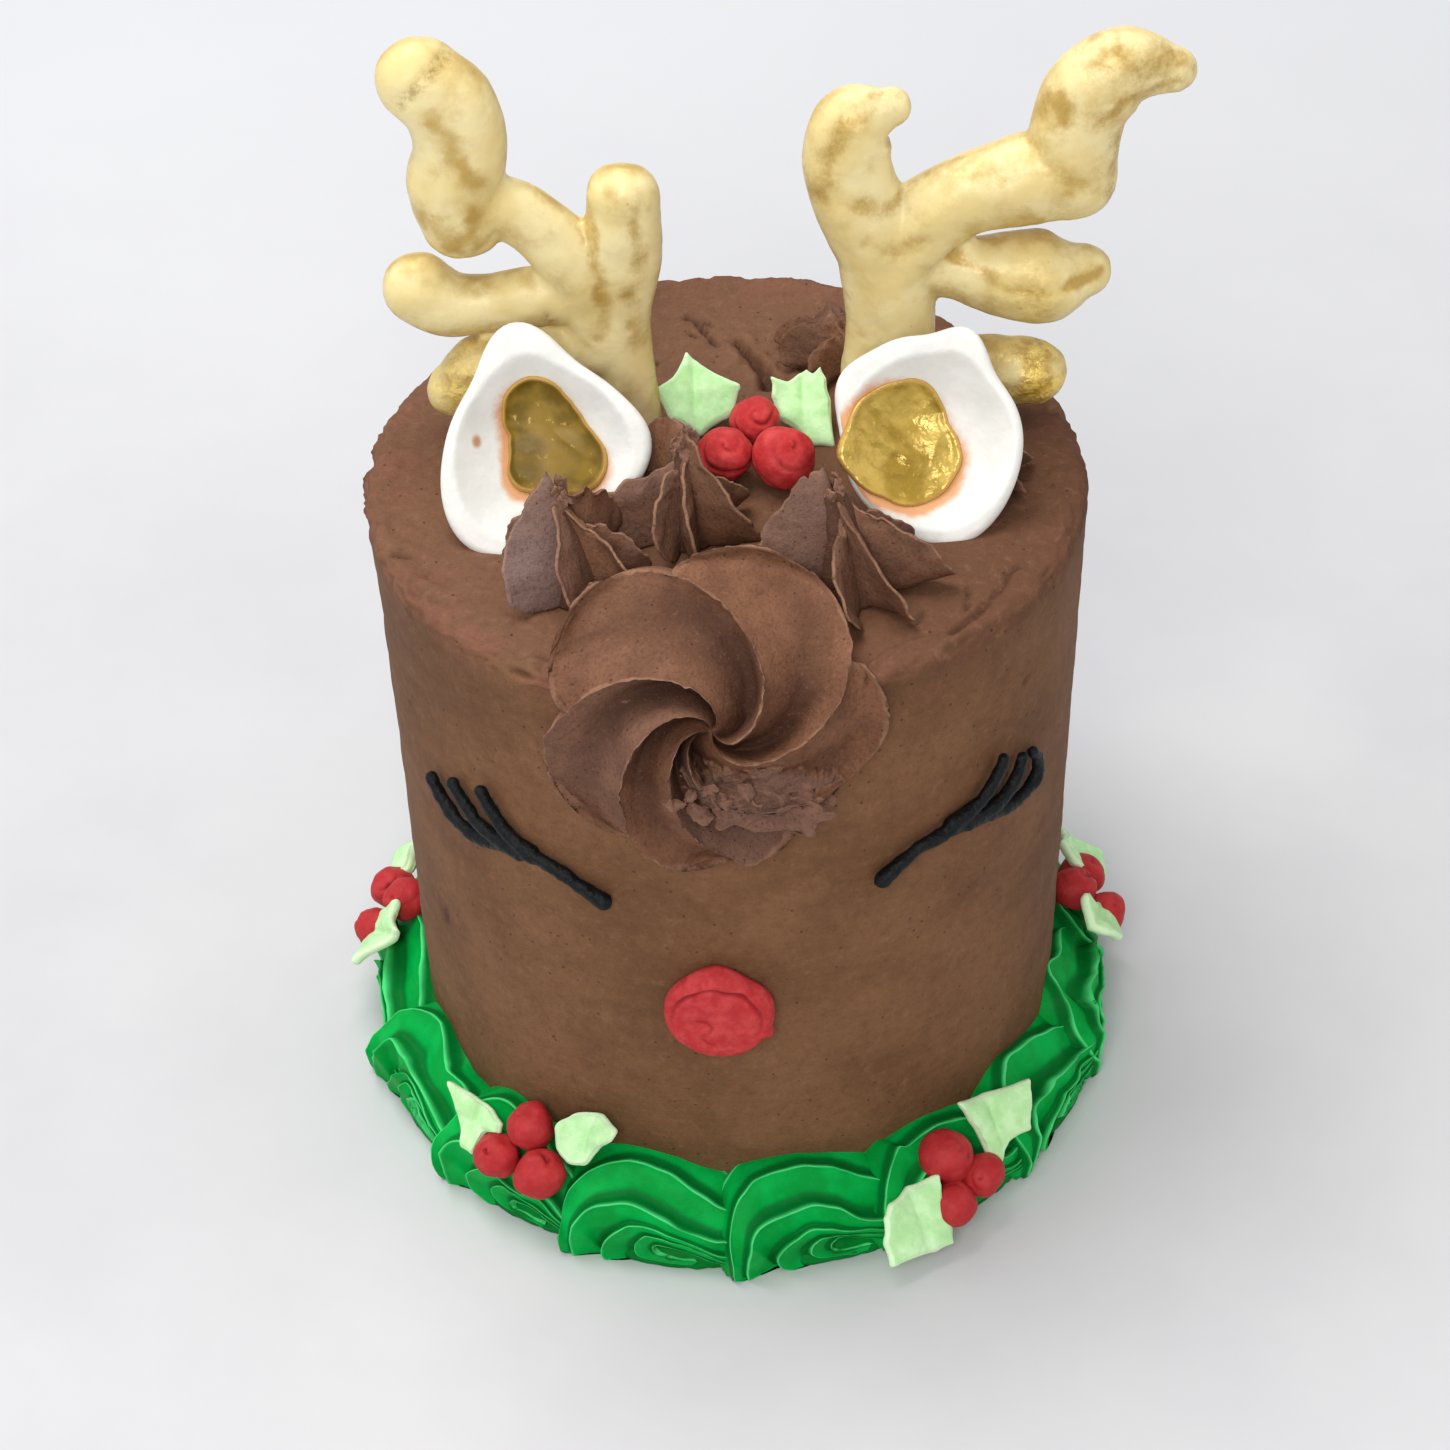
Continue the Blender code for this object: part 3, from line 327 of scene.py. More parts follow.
# The fold round its inner disc: middle and half sizes of the disc; and a small curl below the middle
NOSE_DISC = ((-0.5, -0.5), (7.0, 6.5))
NOSE_CURLS = (
    ((-3.4, -0.6), (-1.8, -0.6), (-1.1, -1.6), (-1.4, -2.6)),
    ((-2.7, -4.0), (-2.0, -5.0), (-0.8, -5.3)),
)
# From the underside round the edge to the middle of the front: share of the radius, share of the thickness
NOSE_SECTION = ((0.9, 0.0), (1.0, 0.35), (0.95, 0.7), (0.8, 0.92), (0.58, 0.94), (0.36, 0.95), (0.04, 0.94))

# Eyelashes, thicker where a stroke starts and thinner along it
LASH_RADIUS = 1.15
LASH_END = 1.15
LASH_STEM = 0.9
LASH_CLEARANCE = 0.3
LASH_GRAIN = 0.26
LASH_SIDES = 20
LASH_POINTS = 60
LASH_LUMPS = ((0.18, 2.2, 0), (0.12, 0.8, 1))
# Their strokes: degrees round the cake from the front, height
LASHES = {
    "lash_left": (
        ((-21.5, 69.1), (-28.3, 72.4), (-34.1, 73.8), (-42.8, 72.1), (-47.9, 71.6), (-52.6, 73.0),
         (-56.7, 76.3)),
        ((-36.0, 73.4), (-43.8, 74.4), (-47.2, 76.7), (-50.2, 79.2)),
        ((-34.0, 74.0), (-38.3, 76.2), (-41.3, 79.4), (-43.3, 81.9)),
    ),
    "lash_right": (
        ((22.7, 72.0), (27.7, 75.1), (33.2, 76.2), (41.4, 75.2), (48.9, 73.4), (55.0, 74.0), (55.6, 77.5),
         (53.8, 80.4)),
        ((38.0, 76.0), (44.2, 75.8), (48.8, 77.4), (50.8, 81.0)),
        ((35.0, 77.0), (41.0, 78.8), (44.4, 81.6), (45.8, 84.2)),
    ),
}

# Border: a ring of shells. Each is a skin stretched over thin lips that arch from the floor to its tail
SHELL_COUNT = 15
SHELL_FIRST = math.radians(-100.2)
SHELL_EYE_RADIUS = 57.2
SHELL_FRONT_MORE = 3.2
SHELL_EYE_HEIGHT = 0.8
SHELL_LEAN = math.radians(35)
# The flat underside, and how far the skin is tucked in for each millimetre that it would lie lower
SHELL_FLOOR = 0.02
SHELL_TUCK = 2.0
SHELL_ROWS = 80
# The lips from the outermost to the eye: points right and up from the eye in the shell's own plane
SHELL_LIPS = (
    ((-18.0, -8.0), (-20.0, 0.0), (-19.0, 9.0), (-14.8, 15.2), (-8.0, 18.0), (-0.6, 17.2), (5.0, 14.8),
     (9.5, 11.5), (14.0, 9.5)),
    ((-17.0, -8.0), (-18.8, 1.0), (-17.8, 8.6), (-13.6, 13.9), (-7.8, 15.1), (-1.8, 13.9), (3.0, 10.8),
     (8.0, 8.3), (13.0, 7.0)),
    ((-15.0, -8.0), (-16.8, -1.0), (-15.4, 5.6), (-12.0, 8.2), (-7.3, 8.8), (-2.4, 7.2), (2.2, 4.9),
     (7.6, 3.5), (12.5, 3.0)),
    ((-1.6, -3.1), (-7.6, -3.2), (-11.6, -2.0), (-11.4, 1.6), (-7.8, 4.8), (-3.4, 4.9), (0.9, 3.5),
     (6.5, 1.6), (12.0, 0.8)),
    ((3.2, -1.6), (-2.4, -1.7), (-6.0, -1.0), (-6.6, 1.4), (-4.8, 3.4), (-2.2, 3.2), (0.9, 2.1),
     (6.2, 0.6), (12.0, -0.2)),
    ((4.0, -0.7), (0.6, -0.7), (-2.6, -0.2), (-3.4, 1.0), (-2.5, 1.9), (-0.8, 1.7), (1.6, 0.9),
     (6.0, -0.2), (12.0, -1.0)),
)
SHELL_LIP_HEIGHTS = (-1.0, 5.2, 8.2, 8.0, 7.2, 6.4)
# How wide the pale edge of a lip is after it and before it, as a share of the way to the next lip
SHELL_LIP_SHARE = 0.055
SHELL_LIP_SHARE_BEFORE = 0.06
# A shell thins towards its tail, and it is low where it meets the floor
SHELL_TAIL = ((0.0, 1.0), (0.7, 1.0), (0.86, 0.78), (1.0, 0.4))
SHELL_LOW = (2.0, -2.6, 0.95)
SHELL_BACK = -6.0
SHELL_BACK_POINTS = 5
SHELL_RIB_DEPTH = 0.36
# How far each lip sways, with more beside the cake, and how far all of them wave together there
SHELL_SWAY = (0.75, 0.5)
SHELL_RUFFLE = 3.0
# The body under the eye: place and half sizes in the shell's own plane
SHELL_HEART = (-0.6, -0.6, 0.4)
SHELL_HEART_SIZE = (9.6, 3.0, 2.4)
# Across a rib from one lip to the next: share of the way, share of the depth
SHELL_RIB_FORM = ((0.0, 0.0), (0.02, 0.02), (0.05, 0.1), (0.12, 0.2), (0.22, 0.3), (0.34, 0.42), (0.46, 0.55),
                  (0.58, 0.7), (0.68, 0.84), (0.77, 0.96), (0.84, 1.0), (0.9, 0.9), (0.95, 0.6), (0.98, 0.25))

# Leaves
LEAF_THICKNESS = 1.7
LEAF_LIFT = 0.22
LEAF_RIPPLE = 0.07
LEAF_RIPPLE_COUNT = 3
LEAF_RIPPLE_START = 0.5
LEAF_DIP = 0.3
LEAF_CREASE = 0.6
LEAF_LUMPS = ((0.5, 3.8, 1), (0.12, 1.4, 2))
LEAF_HOLLOW = 0.2
# How often the corners are smoothed, where not just once, and how far the front is puffed up
LEAF_SOFT = {"shield": 10, "arrow": 3}
LEAF_PUFF = 0.5
LEAF_HOLLOW_GAP = 90
LEAF_EDGE_POINTS = 10
LEAF_ROWS = 16
# Corners of each form: degrees, distance from its middle
LEAF_FORMS = {
    "kite": ((6, 7.3), (78, 4.8), (100, 6.9), (144, 4.1), (177, 6.5), (225, 5.9), (276, 7.2), (329, 7.2)),
    "torn": ((39, 4.6), (61, 5.6), (68, 4.2), (83, 4.7), (100, 4.0), (135, 3.6), (147, 6.0), (179, 5.0),
             (219, 5.5), (263, 5.8), (277, 7.9), (300, 9.4), (350, 4.3)),
    "arrow": ((0, 5.2), (18, 5.2), (62, 3.1), (123, 4.3), (149, 8.5), (188, 3.9), (254, 5.3), (282, 5.8),
              (330, 2.3)),
    "shield": ((19, 5.4), (36, 6.5), (80, 4.9), (127, 4.6), (180, 6.2), (220, 6.0), (253, 5.4), (286, 4.7),
               (348, 2.7)),
    "banner": ((10, 6.5), (36, 9.5), (89, 5.8), (132, 9.0), (148, 5.6), (186, 3.6), (230, 5.3), (251, 7.4),
               (263, 5.2), (296, 3.5), (334, 5.9)),
    "flag": ((19, 4.8), (48, 8.2), (90, 5.6), (134, 6.4), (155, 6.8), (187, 7.3), (214, 9.0), (279, 5.9),
             (307, 7.2), (325, 5.8), (360, 5.4)),
}

# Berries
BERRY_SPOKES = 48
BERRY_ROWS = 40
BERRY_TURNS = 3.2
BERRY_FOLD = 0.15
BERRY_LEAN = 0.6
BERRY_FLATNESS = 0.94
BERRY_LUMPS = ((0.15, 1.0, 0), (0.05, 0.4, 1))

# Holly on top: berries by place and radius, leaves by place, form and lean in degrees
TOP_BERRIES = (
    ("top_berry_left", (-0.6, -1.5, 114.6), 4.3),
    ("top_berry_right", (8.2, -3.2, 114.4), 4.7),
    ("top_berry_back", (4.2, 6.6, 114.9), 3.7),
)
TOP_LEAVES = (
    ("top_leaf_left", (-4.9, 14.4, 114.8), "kite", 48),
    ("top_leaf_right", (11.9, 12.4, 114.7), "torn", 48),
)

# Holly round the base: name, degrees, berries by place and radius, leaves by form, place, lean and turn. A
# place is measured along the border, out from the cake's axis and up
CLUSTER_WOUND = 0.2
CLUSTERS = (
    ("front_left", -125,
     ((-1.5, 57.8, 16.6, 3.8), (-4.7, 62.4, 12.2, 3.9), (3.6, 62.2, 12.6, 4.2)),
     (("arrow", -10.3, 59.7, 14.5, 38, 0), ("shield", 9.3, 56.7, 19.0, 34, 0))),
    ("front_right", -61,
     ((2.4, 61.0, 13.2, 4.3), (7.1, 64.8, 9.8, 3.6), (0.6, 66.2, 8.4, 3.7)),
     (("banner", 12.5, 60.0, 13.6, 38, 0), ("flag", -6.0, 66.3, 8.0, 38, 0))),
    ("right", 9,
     ((-2.0, 57.4, 16.2, 3.7), (3.2, 60.0, 13.6, 3.8), (-4.4, 62.6, 11.6, 3.6)),
     (("kite", 6.8, 60.2, 15.4, 40, -70), ("shield", -9.4, 59.8, 15.4, 38, 60))),
    ("back_right", 63,
     ((0.0, 57.6, 16.2, 3.8), (4.6, 62.0, 12.4, 3.7), (-3.8, 62.4, 12.2, 3.9)),
     (("arrow", 8.8, 59.6, 15.6, 36, -50), ("kite", -8.4, 59.8, 15.4, 38, 50))),
    ("back_left", 117,
     ((1.2, 57.6, 16.0, 3.7), (5.0, 62.4, 11.8, 3.8), (-3.4, 62.0, 12.6, 3.7)),
     (("shield", 9.2, 59.8, 15.4, 38, -60), ("banner", -8.2, 59.6, 15.6, 36, 40))),
    ("left", 170,
     ((1.6, 57.6, 16.4, 3.8), (-4.0, 61.4, 13.4, 3.8), (5.0, 62.4, 11.8, 3.6)),
     (("kite", 9.8, 60.0, 15.2, 38, -40), ("shield", -8.6, 59.6, 15.8, 38, 55))),
)

# Floor, room and lights in metres: name, place, power, size and colour of each light
FLOOR_HALF = 4.0
ROOM_COLOUR = (0.93, 0.95, 1.0, 1)
ROOM_STRENGTH = 0.54
LIGHT_AIM = 0.08
LIGHTS = (
    ("overhead", (-0.2, 0.12, 0.85), 5.0, 0.5, (1.0, 0.99, 0.97)),
    ("key", (-0.1, -0.62, 0.55), 2.8, 0.3, (1.0, 0.97, 0.93)),
    ("window", (-0.8, -0.1, 0.4), 1.0, 0.4, (0.8, 0.88, 1.0)),
    ("bounce", (0.75, -0.2, 0.4), 0.7, 0.5, (1.0, 0.93, 0.86)),
)

# Camera: focal length and picture width in pixels, pitch, roll, distance and height of its aim in metres
CAMERA_FOCUS = 3500.0
CAMERA_PIXELS = 1450
CAMERA_PITCH = math.radians(39.7)
CAMERA_ROLL = math.radians(-1.49)
CAMERA_DISTANCE = 0.565425
CAMERA_AIM = 0.05985
CAMERA_SHIFT = -10
CAMERA_SENSOR = 36.0


# Numbers

def hill(value, centre, spread):
    """1 at the centre, falling smoothly to 0 some spreads away."""
    return np.exp(-((value - centre) / spread) ** 2)


def spot(points, across, along, wide, long):
    """1 at a place across and along, falling smoothly to 0 around it."""
    return hill(points[..., 0], across, wide) * hill(points[..., 1], along, long)


def unit(value):
    """The value, kept from 0 to 1."""
    return np.clip(value, 0, 1)


def off_by(degrees, aim):
    """How many degrees one direction lies past another, from -180 to 180."""
    return (degrees - aim + 180) % 360 - 180


def polar(angle, radius, height):
    """Points from angles in radians, radii and heights."""
    angle, radius, height = np.broadcast_arrays(angle, radius, height)
    return np.stack([radius * np.cos(angle), radius * np.sin(angle), height], axis=-1)


def around(count):
    """Angles at even steps round a circle."""
    return np.arange(count) * TAU / count


def columns_of(rows):
    """Each column of a table, standing upright so that it runs across a row of angles."""
    return (column[:, None] for column in np.array(rows).T)


def upright(*parts):
    """Rows of numbers, one after another, as one column."""
    return np.concatenate(parts)[:, None]


def curve_through(rows, count):
    """Rows read evenly along a smooth curve through the given rows, ends included."""
    rows = np.asarray(rows, float)
    last = len(rows) - 1
    place = np.linspace(0, last, count)
    i = np.minimum(place.astype(int), last - 1)
    t = (place - i)[:, None]
    a, b, c, d = (rows[np.clip(i + step, 0, last)] for step in (-1, 0, 1, 2))
    return 0.5 * (2 * b + (c - a) * t + (2 * a - 5 * b + 4 * c - d) * t ** 2
                  + (3 * b - a - 3 * c + d) * t ** 3)


def lumps(points, size, seed):
    """Smooth random values from -1 to 1 over space, with features of about this size."""
    table = np.random.default_rng(seed).uniform(-1, 1, (LUMP_CELLS,) * 3)
    place = np.asarray(points, float) / size + LUMP_ORIGIN
    cell = np.floor(place).astype(int)
    t = place - cell
    t = t * t * (3 - 2 * t)
    total = 0
    for corner in itertools.product((0, 1), repeat=3):
        weight = np.prod(np.where(corner, t, 1 - t), axis=-1)
        i = (cell + corner) % LUMP_CELLS
        total = total + weight * table[i[..., 0], i[..., 1], i[..., 2]]
    return total


def bumpy(points, layers, seed=0):
    """Layers of lumps together. Each is its height, its size and what it adds to the seed."""
    return sum(height * lumps(points, size, seed + more) for height, size, more in layers)


def patchy(points, level, swing, size, seed):
    """Shares from 0 to 1 that wander round a level."""
    return unit(level + swing * lumps(points, size, seed))


def ridged(points, crest, fall, size, seed):
    """Sharp winding crests that fall off to both sides."""
    return crest - fall * np.abs(lumps(points, size, seed))


def gap_to(points, path):
    """Distance from each point to a line of straight strokes, and how far along the line it is."""
    nearest = np.full(points.shape[:-1], np.inf)
    share = np.zeros(points.shape[:-1])
    strokes = list(zip(path, path[1:]))
    for number, (start, end) in enumerate(strokes):
        start, end = np.array(start), np.array(end)
        along = end - start
        t = unit((points - start) @ along / (along @ along))
        gap = np.linalg.norm(points - start - t[..., None] * along, axis=-1)
        share = np.where(gap < nearest, (number + t) / len(strokes), share)
        nearest = np.minimum(nearest, gap)
    return nearest, share


# Places

def moved(points, matrix):
    matrix = np.array(matrix)
    return points @ matrix[:3, :3].T + matrix[:3, 3]


def direction(angle):
    return Vector((math.cos(angle), math.sin(angle), 0))


def placed(place, right, up, out):
    """Lays local x, y and z along these directions, at this place."""
    return Matrix.Translation(place) @ Matrix((right, up, out)).transposed().to_4x4()


def facing(place, outward, lean):
    """Local x to the side, y up the slope and z out of it, on a slope that faces outward and leans back."""
    side = UP.cross(outward)
    out = outward * math.cos(lean) + UP * math.sin(lean)
    return placed(place, side, out.cross(side), out)


# Meshes

def closed(grid, marks=None):
    """A closed body through rows of equal count, with a fan at each end, and its marks with them."""
    rows, count = grid.shape[:2]
    points = np.concatenate([grid.reshape(-1, 3), [grid[0].mean(axis=0), grid[-1].mean(axis=0)]])
    i = np.arange(count)
    j = (i + 1) % count
    faces = []
    for row in range(rows - 1):
        low, high = row * count, (row + 1) * count
        faces += np.stack([low + i, low + j, high + j, high + i], axis=1).tolist()
    last = (rows - 1) * count
    faces += np.stack([np.full(count, rows * count), j, i], axis=1).tolist()
    faces += np.stack([np.full(count, rows * count + 1), last + i, last + j], axis=1).tolist()
    spread = {}
    for name, values in (marks or {}).items():
        values = np.broadcast_to(values, (rows, count))
        spread[name] = np.concatenate([values.ravel(), [values[0].mean(), values[-1].mean()]])
    return points, faces, spread


def joined(bodies):
    """Several closed bodies as one mesh."""
    points, faces, marks = [], [], {}
    for body_points, body_faces, body_marks in bodies:
        start = sum(len(found) for found in points)
        points.append(body_points)
        faces += [[start + i for i in face] for face in body_faces]
        for name, values in body_marks.items():
            marks.setdefault(name, []).append(values)
    return np.concatenate(points), faces, {name: np.concatenate(values) for name, values in marks.items()}


def mark(mesh, name, values):
    mesh.attributes.new(name, "FLOAT", "POINT").data.foreach_set("value", np.asarray(values, np.float32))


def mesh_of(body):
    points, faces, marks = body
    mesh = bpy.data.meshes.new("mesh")
    mesh.from_pydata((points * MM).tolist(), [], faces)
    for name, values in marks.items():
        mark(mesh, name, values)
    return mesh


def linked(name, data):
    obj = bpy.data.objects.new(name, data)
    bpy.context.scene.collection.objects.link(obj)
    return obj


def melted(tubes, grain):
    """Overlapping tubes melted into one skin of evenly small faces."""
    obj = linked("melting", mesh_of(joined(tubes)))
    remesh = obj.modifiers.new("remesh", "REMESH")
    remesh.mode = "VOXEL"
    remesh.voxel_size = grain * MM
    smooth = obj.modifiers.new("smooth", "SMOOTH")
    smooth.factor = 0.5
    smooth.iterations = MELT_SMOOTHING
    mesh = bpy.data.meshes.new_from_object(obj.evaluated_get(bpy.context.evaluated_depsgraph_get()))
    bpy.data.objects.remove(obj)
    return mesh


def triples(items, key):
    """The three numbers that each item has under this key."""
    values = np.empty(len(items) * 3, np.float32)
    items.foreach_get(key, values)
    return values.reshape(-1, 3).astype(float)


def points_of(mesh):
    return triples(mesh.vertices, "co") / MM


def normals_of(mesh):
    return triples(mesh.vertex_normals, "vector")


def swelled(mesh, height):
    """Moves each point along its normal by its height in millimetres."""
    points = points_of(mesh) + normals_of(mesh) * height[:, None]
    mesh.vertices.foreach_set("co", (points * MM).ravel())
    mesh.update()


def piece(name, mesh, look, stands_for_solid=True):
    """Puts a finished mesh in the scene, mostly in place of the solid of the same name."""
    mesh.name = name
    mesh.shade_smooth()
    mesh.materials.clear()
    mesh.materials.append(look)
    obj = linked(name, mesh)
    if stands_for_solid:
        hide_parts(name)
    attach(obj, "root")


# Materials

def srgb(red, green, blue):
    """A colour as seen on screen, 0 to 255, for a shader."""
    linear = []
    for value in (red, green, blue):
        share = value / 255
        linear.append(share / 12.92 if share <= 0.04045 else ((share + 0.055) / 1.055) ** 2.4)
    return (*linear, 1.0)


class Look:
    """A food material under construction. Coats of colour go over each other, and fine relief adds up."""

    def __init__(self, name, roughness, specular, scatter=None):
        self.material = bpy.data.materials.new(name)
        self.material.use_nodes = True
        self.tree = self.material.node_tree
        self.shader = self.tree.nodes["Principled BSDF"].inputs
        self.give("Roughness", roughness)
        self.give("Specular IOR Level", specular)
        if scatter:
            self.give("Subsurface Weight", scatter[0])
            self.give("Subsurface Radius", scatter[1:])
            self.give("Subsurface Scale", SCATTER_REACH * MM)
        self.place = self.add("ShaderNodeTexCoord").outputs["Object"]
        self.skin = None
        self.heights = []

    def add(self, kind, **settings):
        node = self.tree.nodes.new(kind)
        for name, value in settings.items():
            setattr(node, name, value)
        return node

    def join(self, socket, value):
        if isinstance(value, bpy.types.NodeSocket):
            self.tree.links.new(value, socket)
        else:
            socket.default_value = value

    def give(self, name, value):
        self.join(self.shader[name], value)

    def noise(self, size, detail, roughness, stretch=None):
        """Cloudy values with features of about this size in millimetres."""
        place = self.place
        if stretch:
            mapping = self.add("ShaderNodeMapping")
            self.join(mapping.inputs["Vector"], place)
            mapping.inputs["Scale"].default_value = [1 / value for value in stretch]
            place = mapping.outputs["Vector"]
        node = self.add("ShaderNodeTexNoise")
        self.join(node.inputs["Vector"], place)
        self.join(node.inputs["Scale"], 1 / (size * MM))
        self.join(node.inputs["Detail"], detail)
        self.join(node.inputs["Roughness"], roughness)
        return node.outputs["Fac"]

    def spots(self, gap, reach):
        """1 in small round spots this far apart, 0 between them."""
        node = self.add("ShaderNodeTexVoronoi")
        self.join(node.inputs["Vector"], self.place)
        self.join(node.inputs["Scale"], 1 / (gap * MM))
        return self.between(node.outputs["Distance"], reach, reach * 0.4)

    def mark(self, name):
        return self.add("ShaderNodeAttribute", attribute_name=name).outputs["Fac"]

    def between(self, value, low, high, to_low=0.0, to_high=1.0):
        """One value below low, the other above high, and smooth between."""
        node = self.add("ShaderNodeMapRange", interpolation_type="SMOOTHSTEP")
        for name, given in zip(("Value", "From Min", "From Max", "To Min", "To Max"),
                               (value, low, high, to_low, to_high)):
            self.join(node.inputs[name], given)
        return node.outputs["Result"]

    def reckon(self, operation, first, second):
        node = self.add("ShaderNodeMath", operation=operation)
        self.join(node.inputs[0], first)
        self.join(node.inputs[1], second)
        return node.outputs[0]

    def plus(self, first, second):
        return self.reckon("ADD", first, second)

    def times(self, first, second):
        return self.reckon("MULTIPLY", first, second)

    def mix(self, share, first, second):
        """The first colour, and the second by its share from 0 to 1."""
        node = self.add("ShaderNodeMix", data_type="RGBA")
        self.join(node.inputs["Factor"], share)
        self.join(node.inputs[6], first)
        self.join(node.inputs[7], second)
        return node.outputs[2]

    def blend(self, value, low, high, first, second):
        """From the first colour, where the value is low, to the second."""
        return self.mix(self.between(value, low, high), srgb(*first), srgb(*second))

    def coat(self, share, colour):
        """Lays a colour over the skin, by its share from 0 to 1."""
        self.skin = self.mix(share, self.skin, srgb(*colour))

    def speckle(self, value, dark, pale, dark_colour, pale_colour):
        """Lays one colour where the value is low and one where it is high: (from, to, strength), twice."""
        self.coat(self.between(value, dark[0], dark[1], dark[2], 0.0), dark_colour)
        self.coat(self.between(value, pale[0], pale[1], 0.0, pale[2]), pale_colour)

    def relief(self, value, depth):
        """Adds fine relief: the value times this depth in millimetres."""
        self.heights.append(self.times(value, depth * MM))

    def done(self):
        self.give("Base Color", self.skin)
        bump = self.add("ShaderNodeBump")
        self.join(bump.inputs["Distance"], 1.0)
        self.join(bump.inputs["Height"], functools.reduce(self.plus, self.heights))
        self.give("Normal", bump.outputs["Normal"])
        return self.material


def chocolate_icing():
    """Smoothed icing: soft brown, with knife marks, pores and paler scraped places, and painted shade on the
    top, on its right side and in the sunken cracks, scars and dents.
    """
    look = Look("chocolate icing", 0.7, 0.12)
    look.skin = look.blend(look.noise(22, 4, 0.6), 0.35, 0.68, (106, 73, 49), (123, 87, 60))
    bands = look.noise(3.0, 4, 0.6, stretch=(6, 6, 1))
    look.coat(look.between(bands, 0.35, 0.75, 0.0, 0.3), (132, 93, 64))
    # Painted shade: the top a little darker than the side, for the light that falls on it
    look.coat(look.mark("top"), (112, 79, 60))
    patches = look.between(look.noise(7, 5, 0.65), 0.42, 0.62)
    look.coat(look.times(look.mark("rim"), patches), (121, 81, 63))
    # Painted shade on the right of the top and the rim
    look.coat(look.mark("painted_right_shade"), (90, 59, 42))
    # Painted shade in the sunken cracks, scars and dents
    look.coat(look.mark("dark"), (62, 38, 27))
    mottled = look.noise(2.0, 4, 0.65)
    look.speckle(mottled, (0.3, 0.5, 0.3), (0.52, 0.72, 0.3), (88, 58, 40), (144, 106, 82))
    pores = look.spots(2.6, 0.1)
    look.coat(look.times(pores, 0.5), (84, 55, 40))
    grain = look.noise(0.6, 4, 0.7)
    look.speckle(grain, (0.36, 0.5, 0.22), (0.58, 0.74, 0.22), (78, 52, 37), (150, 114, 88))
    look.relief(grain, 0.15)
    look.relief(bands, 0.14)
    look.relief(pores, -0.25)
    return look.done()


def chocolate_piping():
    """Piped icing: a painted highlight along its thin lips and torn edges, painted shade in its folds, and a
    painted cool light on some faces.
    """
    look = Look("chocolate piping", 0.68, 0.14)
    look.skin = look.blend(look.noise(6, 4, 0.6), 0.35, 0.68, (108, 72, 52), (128, 88, 65))
    look.coat(look.mark("dull"), (104, 75, 60))
    # A painted cool light from the left, and the paler grey of torn icing
    look.coat(look.times(look.mark("painted_cool_light_and_torn_pallor"), 0.8), (132, 110, 104))
    # Painted shade in the troughs, between the fins and in the torn crevices
    look.coat(look.between(look.mark("deep"), 0.25, 1.0, 0.0, 0.82), (56, 33, 24))
    # Painted highlight along the lips, thin edges and torn crumbs
    look.coat(look.between(look.mark("edge"), 0.1, 1.0, 0.0, 0.7), (158, 118, 94))
    look.coat(look.times(look.spots(7.5, 0.035), 0.8), (205, 190, 180))
    pores = look.spots(1.7, 0.12)
    look.coat(look.times(pores, 0.35), (80, 54, 42))
    grain = look.noise(0.55, 4, 0.7)
    look.speckle(grain, (0.36, 0.5, 0.35), (0.58, 0.74, 0.35), (66, 42, 30), (158, 122, 100))
    look.relief(grain, 0.22)
    look.relief(look.noise(1.6, 4, 0.6), 0.3)
    look.relief(pores, -0.2)
    return look.done()


def white_icing():
    """The ears: smooth white, with a rosy brown stain round the gold and a smudge."""
    look = Look("white icing", 0.5, 0.4, scatter=(0.15, 1.0, 0.8, 0.7))
    look.skin = look.blend(look.noise(5, 4, 0.6), 0.35, 0.7, (222, 222, 216), (230, 229, 223))
    ragged = look.plus(look.mark("stain"), look.times(look.noise(1.6, 4, 0.7), 0.5))
    look.coat(look.between(ragged, 0.55, 1.1, 0.0, 0.95), (214, 152, 98))
    look.coat(look.between(look.mark("smudge"), 0.2, 0.9), (190, 140, 100))
    look.relief(look.noise(0.8, 3, 0.5), 0.05)
    look.relief(look.noise(4.0, 2, 0.5), 0.25)
    return look.done()


def gold_paint():
    """Brushed edible gold: shiny, darker where it is thin."""
    look = Look("gold paint", 0.3, 0.35)
    thin = look.mark("thin")
    cloudy = look.noise(5.0, 3, 0.5)
    bright = look.blend(cloudy, 0.38, 0.62, (172, 140, 46), (208, 176, 82))
    dark = look.blend(cloudy, 0.38, 0.62, (92, 71, 12), (126, 98, 28))
    look.skin = look.mix(thin, bright, dark)
    look.coat(look.between(look.noise(1.6, 4, 0.65), 0.62, 0.74, 0.0, 0.5), (232, 208, 112))
    look.coat(look.between(look.mark("brim"), 0.3, 1.0, 0.0, 0.75), (206, 160, 82))
    brushed = look.between(look.noise(2.5, 3, 0.6), 0.3, 0.7, 0.18, 0.36)
    look.give("Roughness", look.plus(brushed, look.times(thin, 0.16)))
    look.give("Specular IOR Level", look.between(thin, 0.1, 0.9, 0.5, 0.2))
    look.give("Metallic", look.between(thin, 0.1, 0.9, 0.25, 0.08))
    look.relief(look.times(look.noise(2.8, 3, 0.5), look.between(thin, 0.2, 0.9, 1.0, 0.1)), 0.6)
    return look.done()


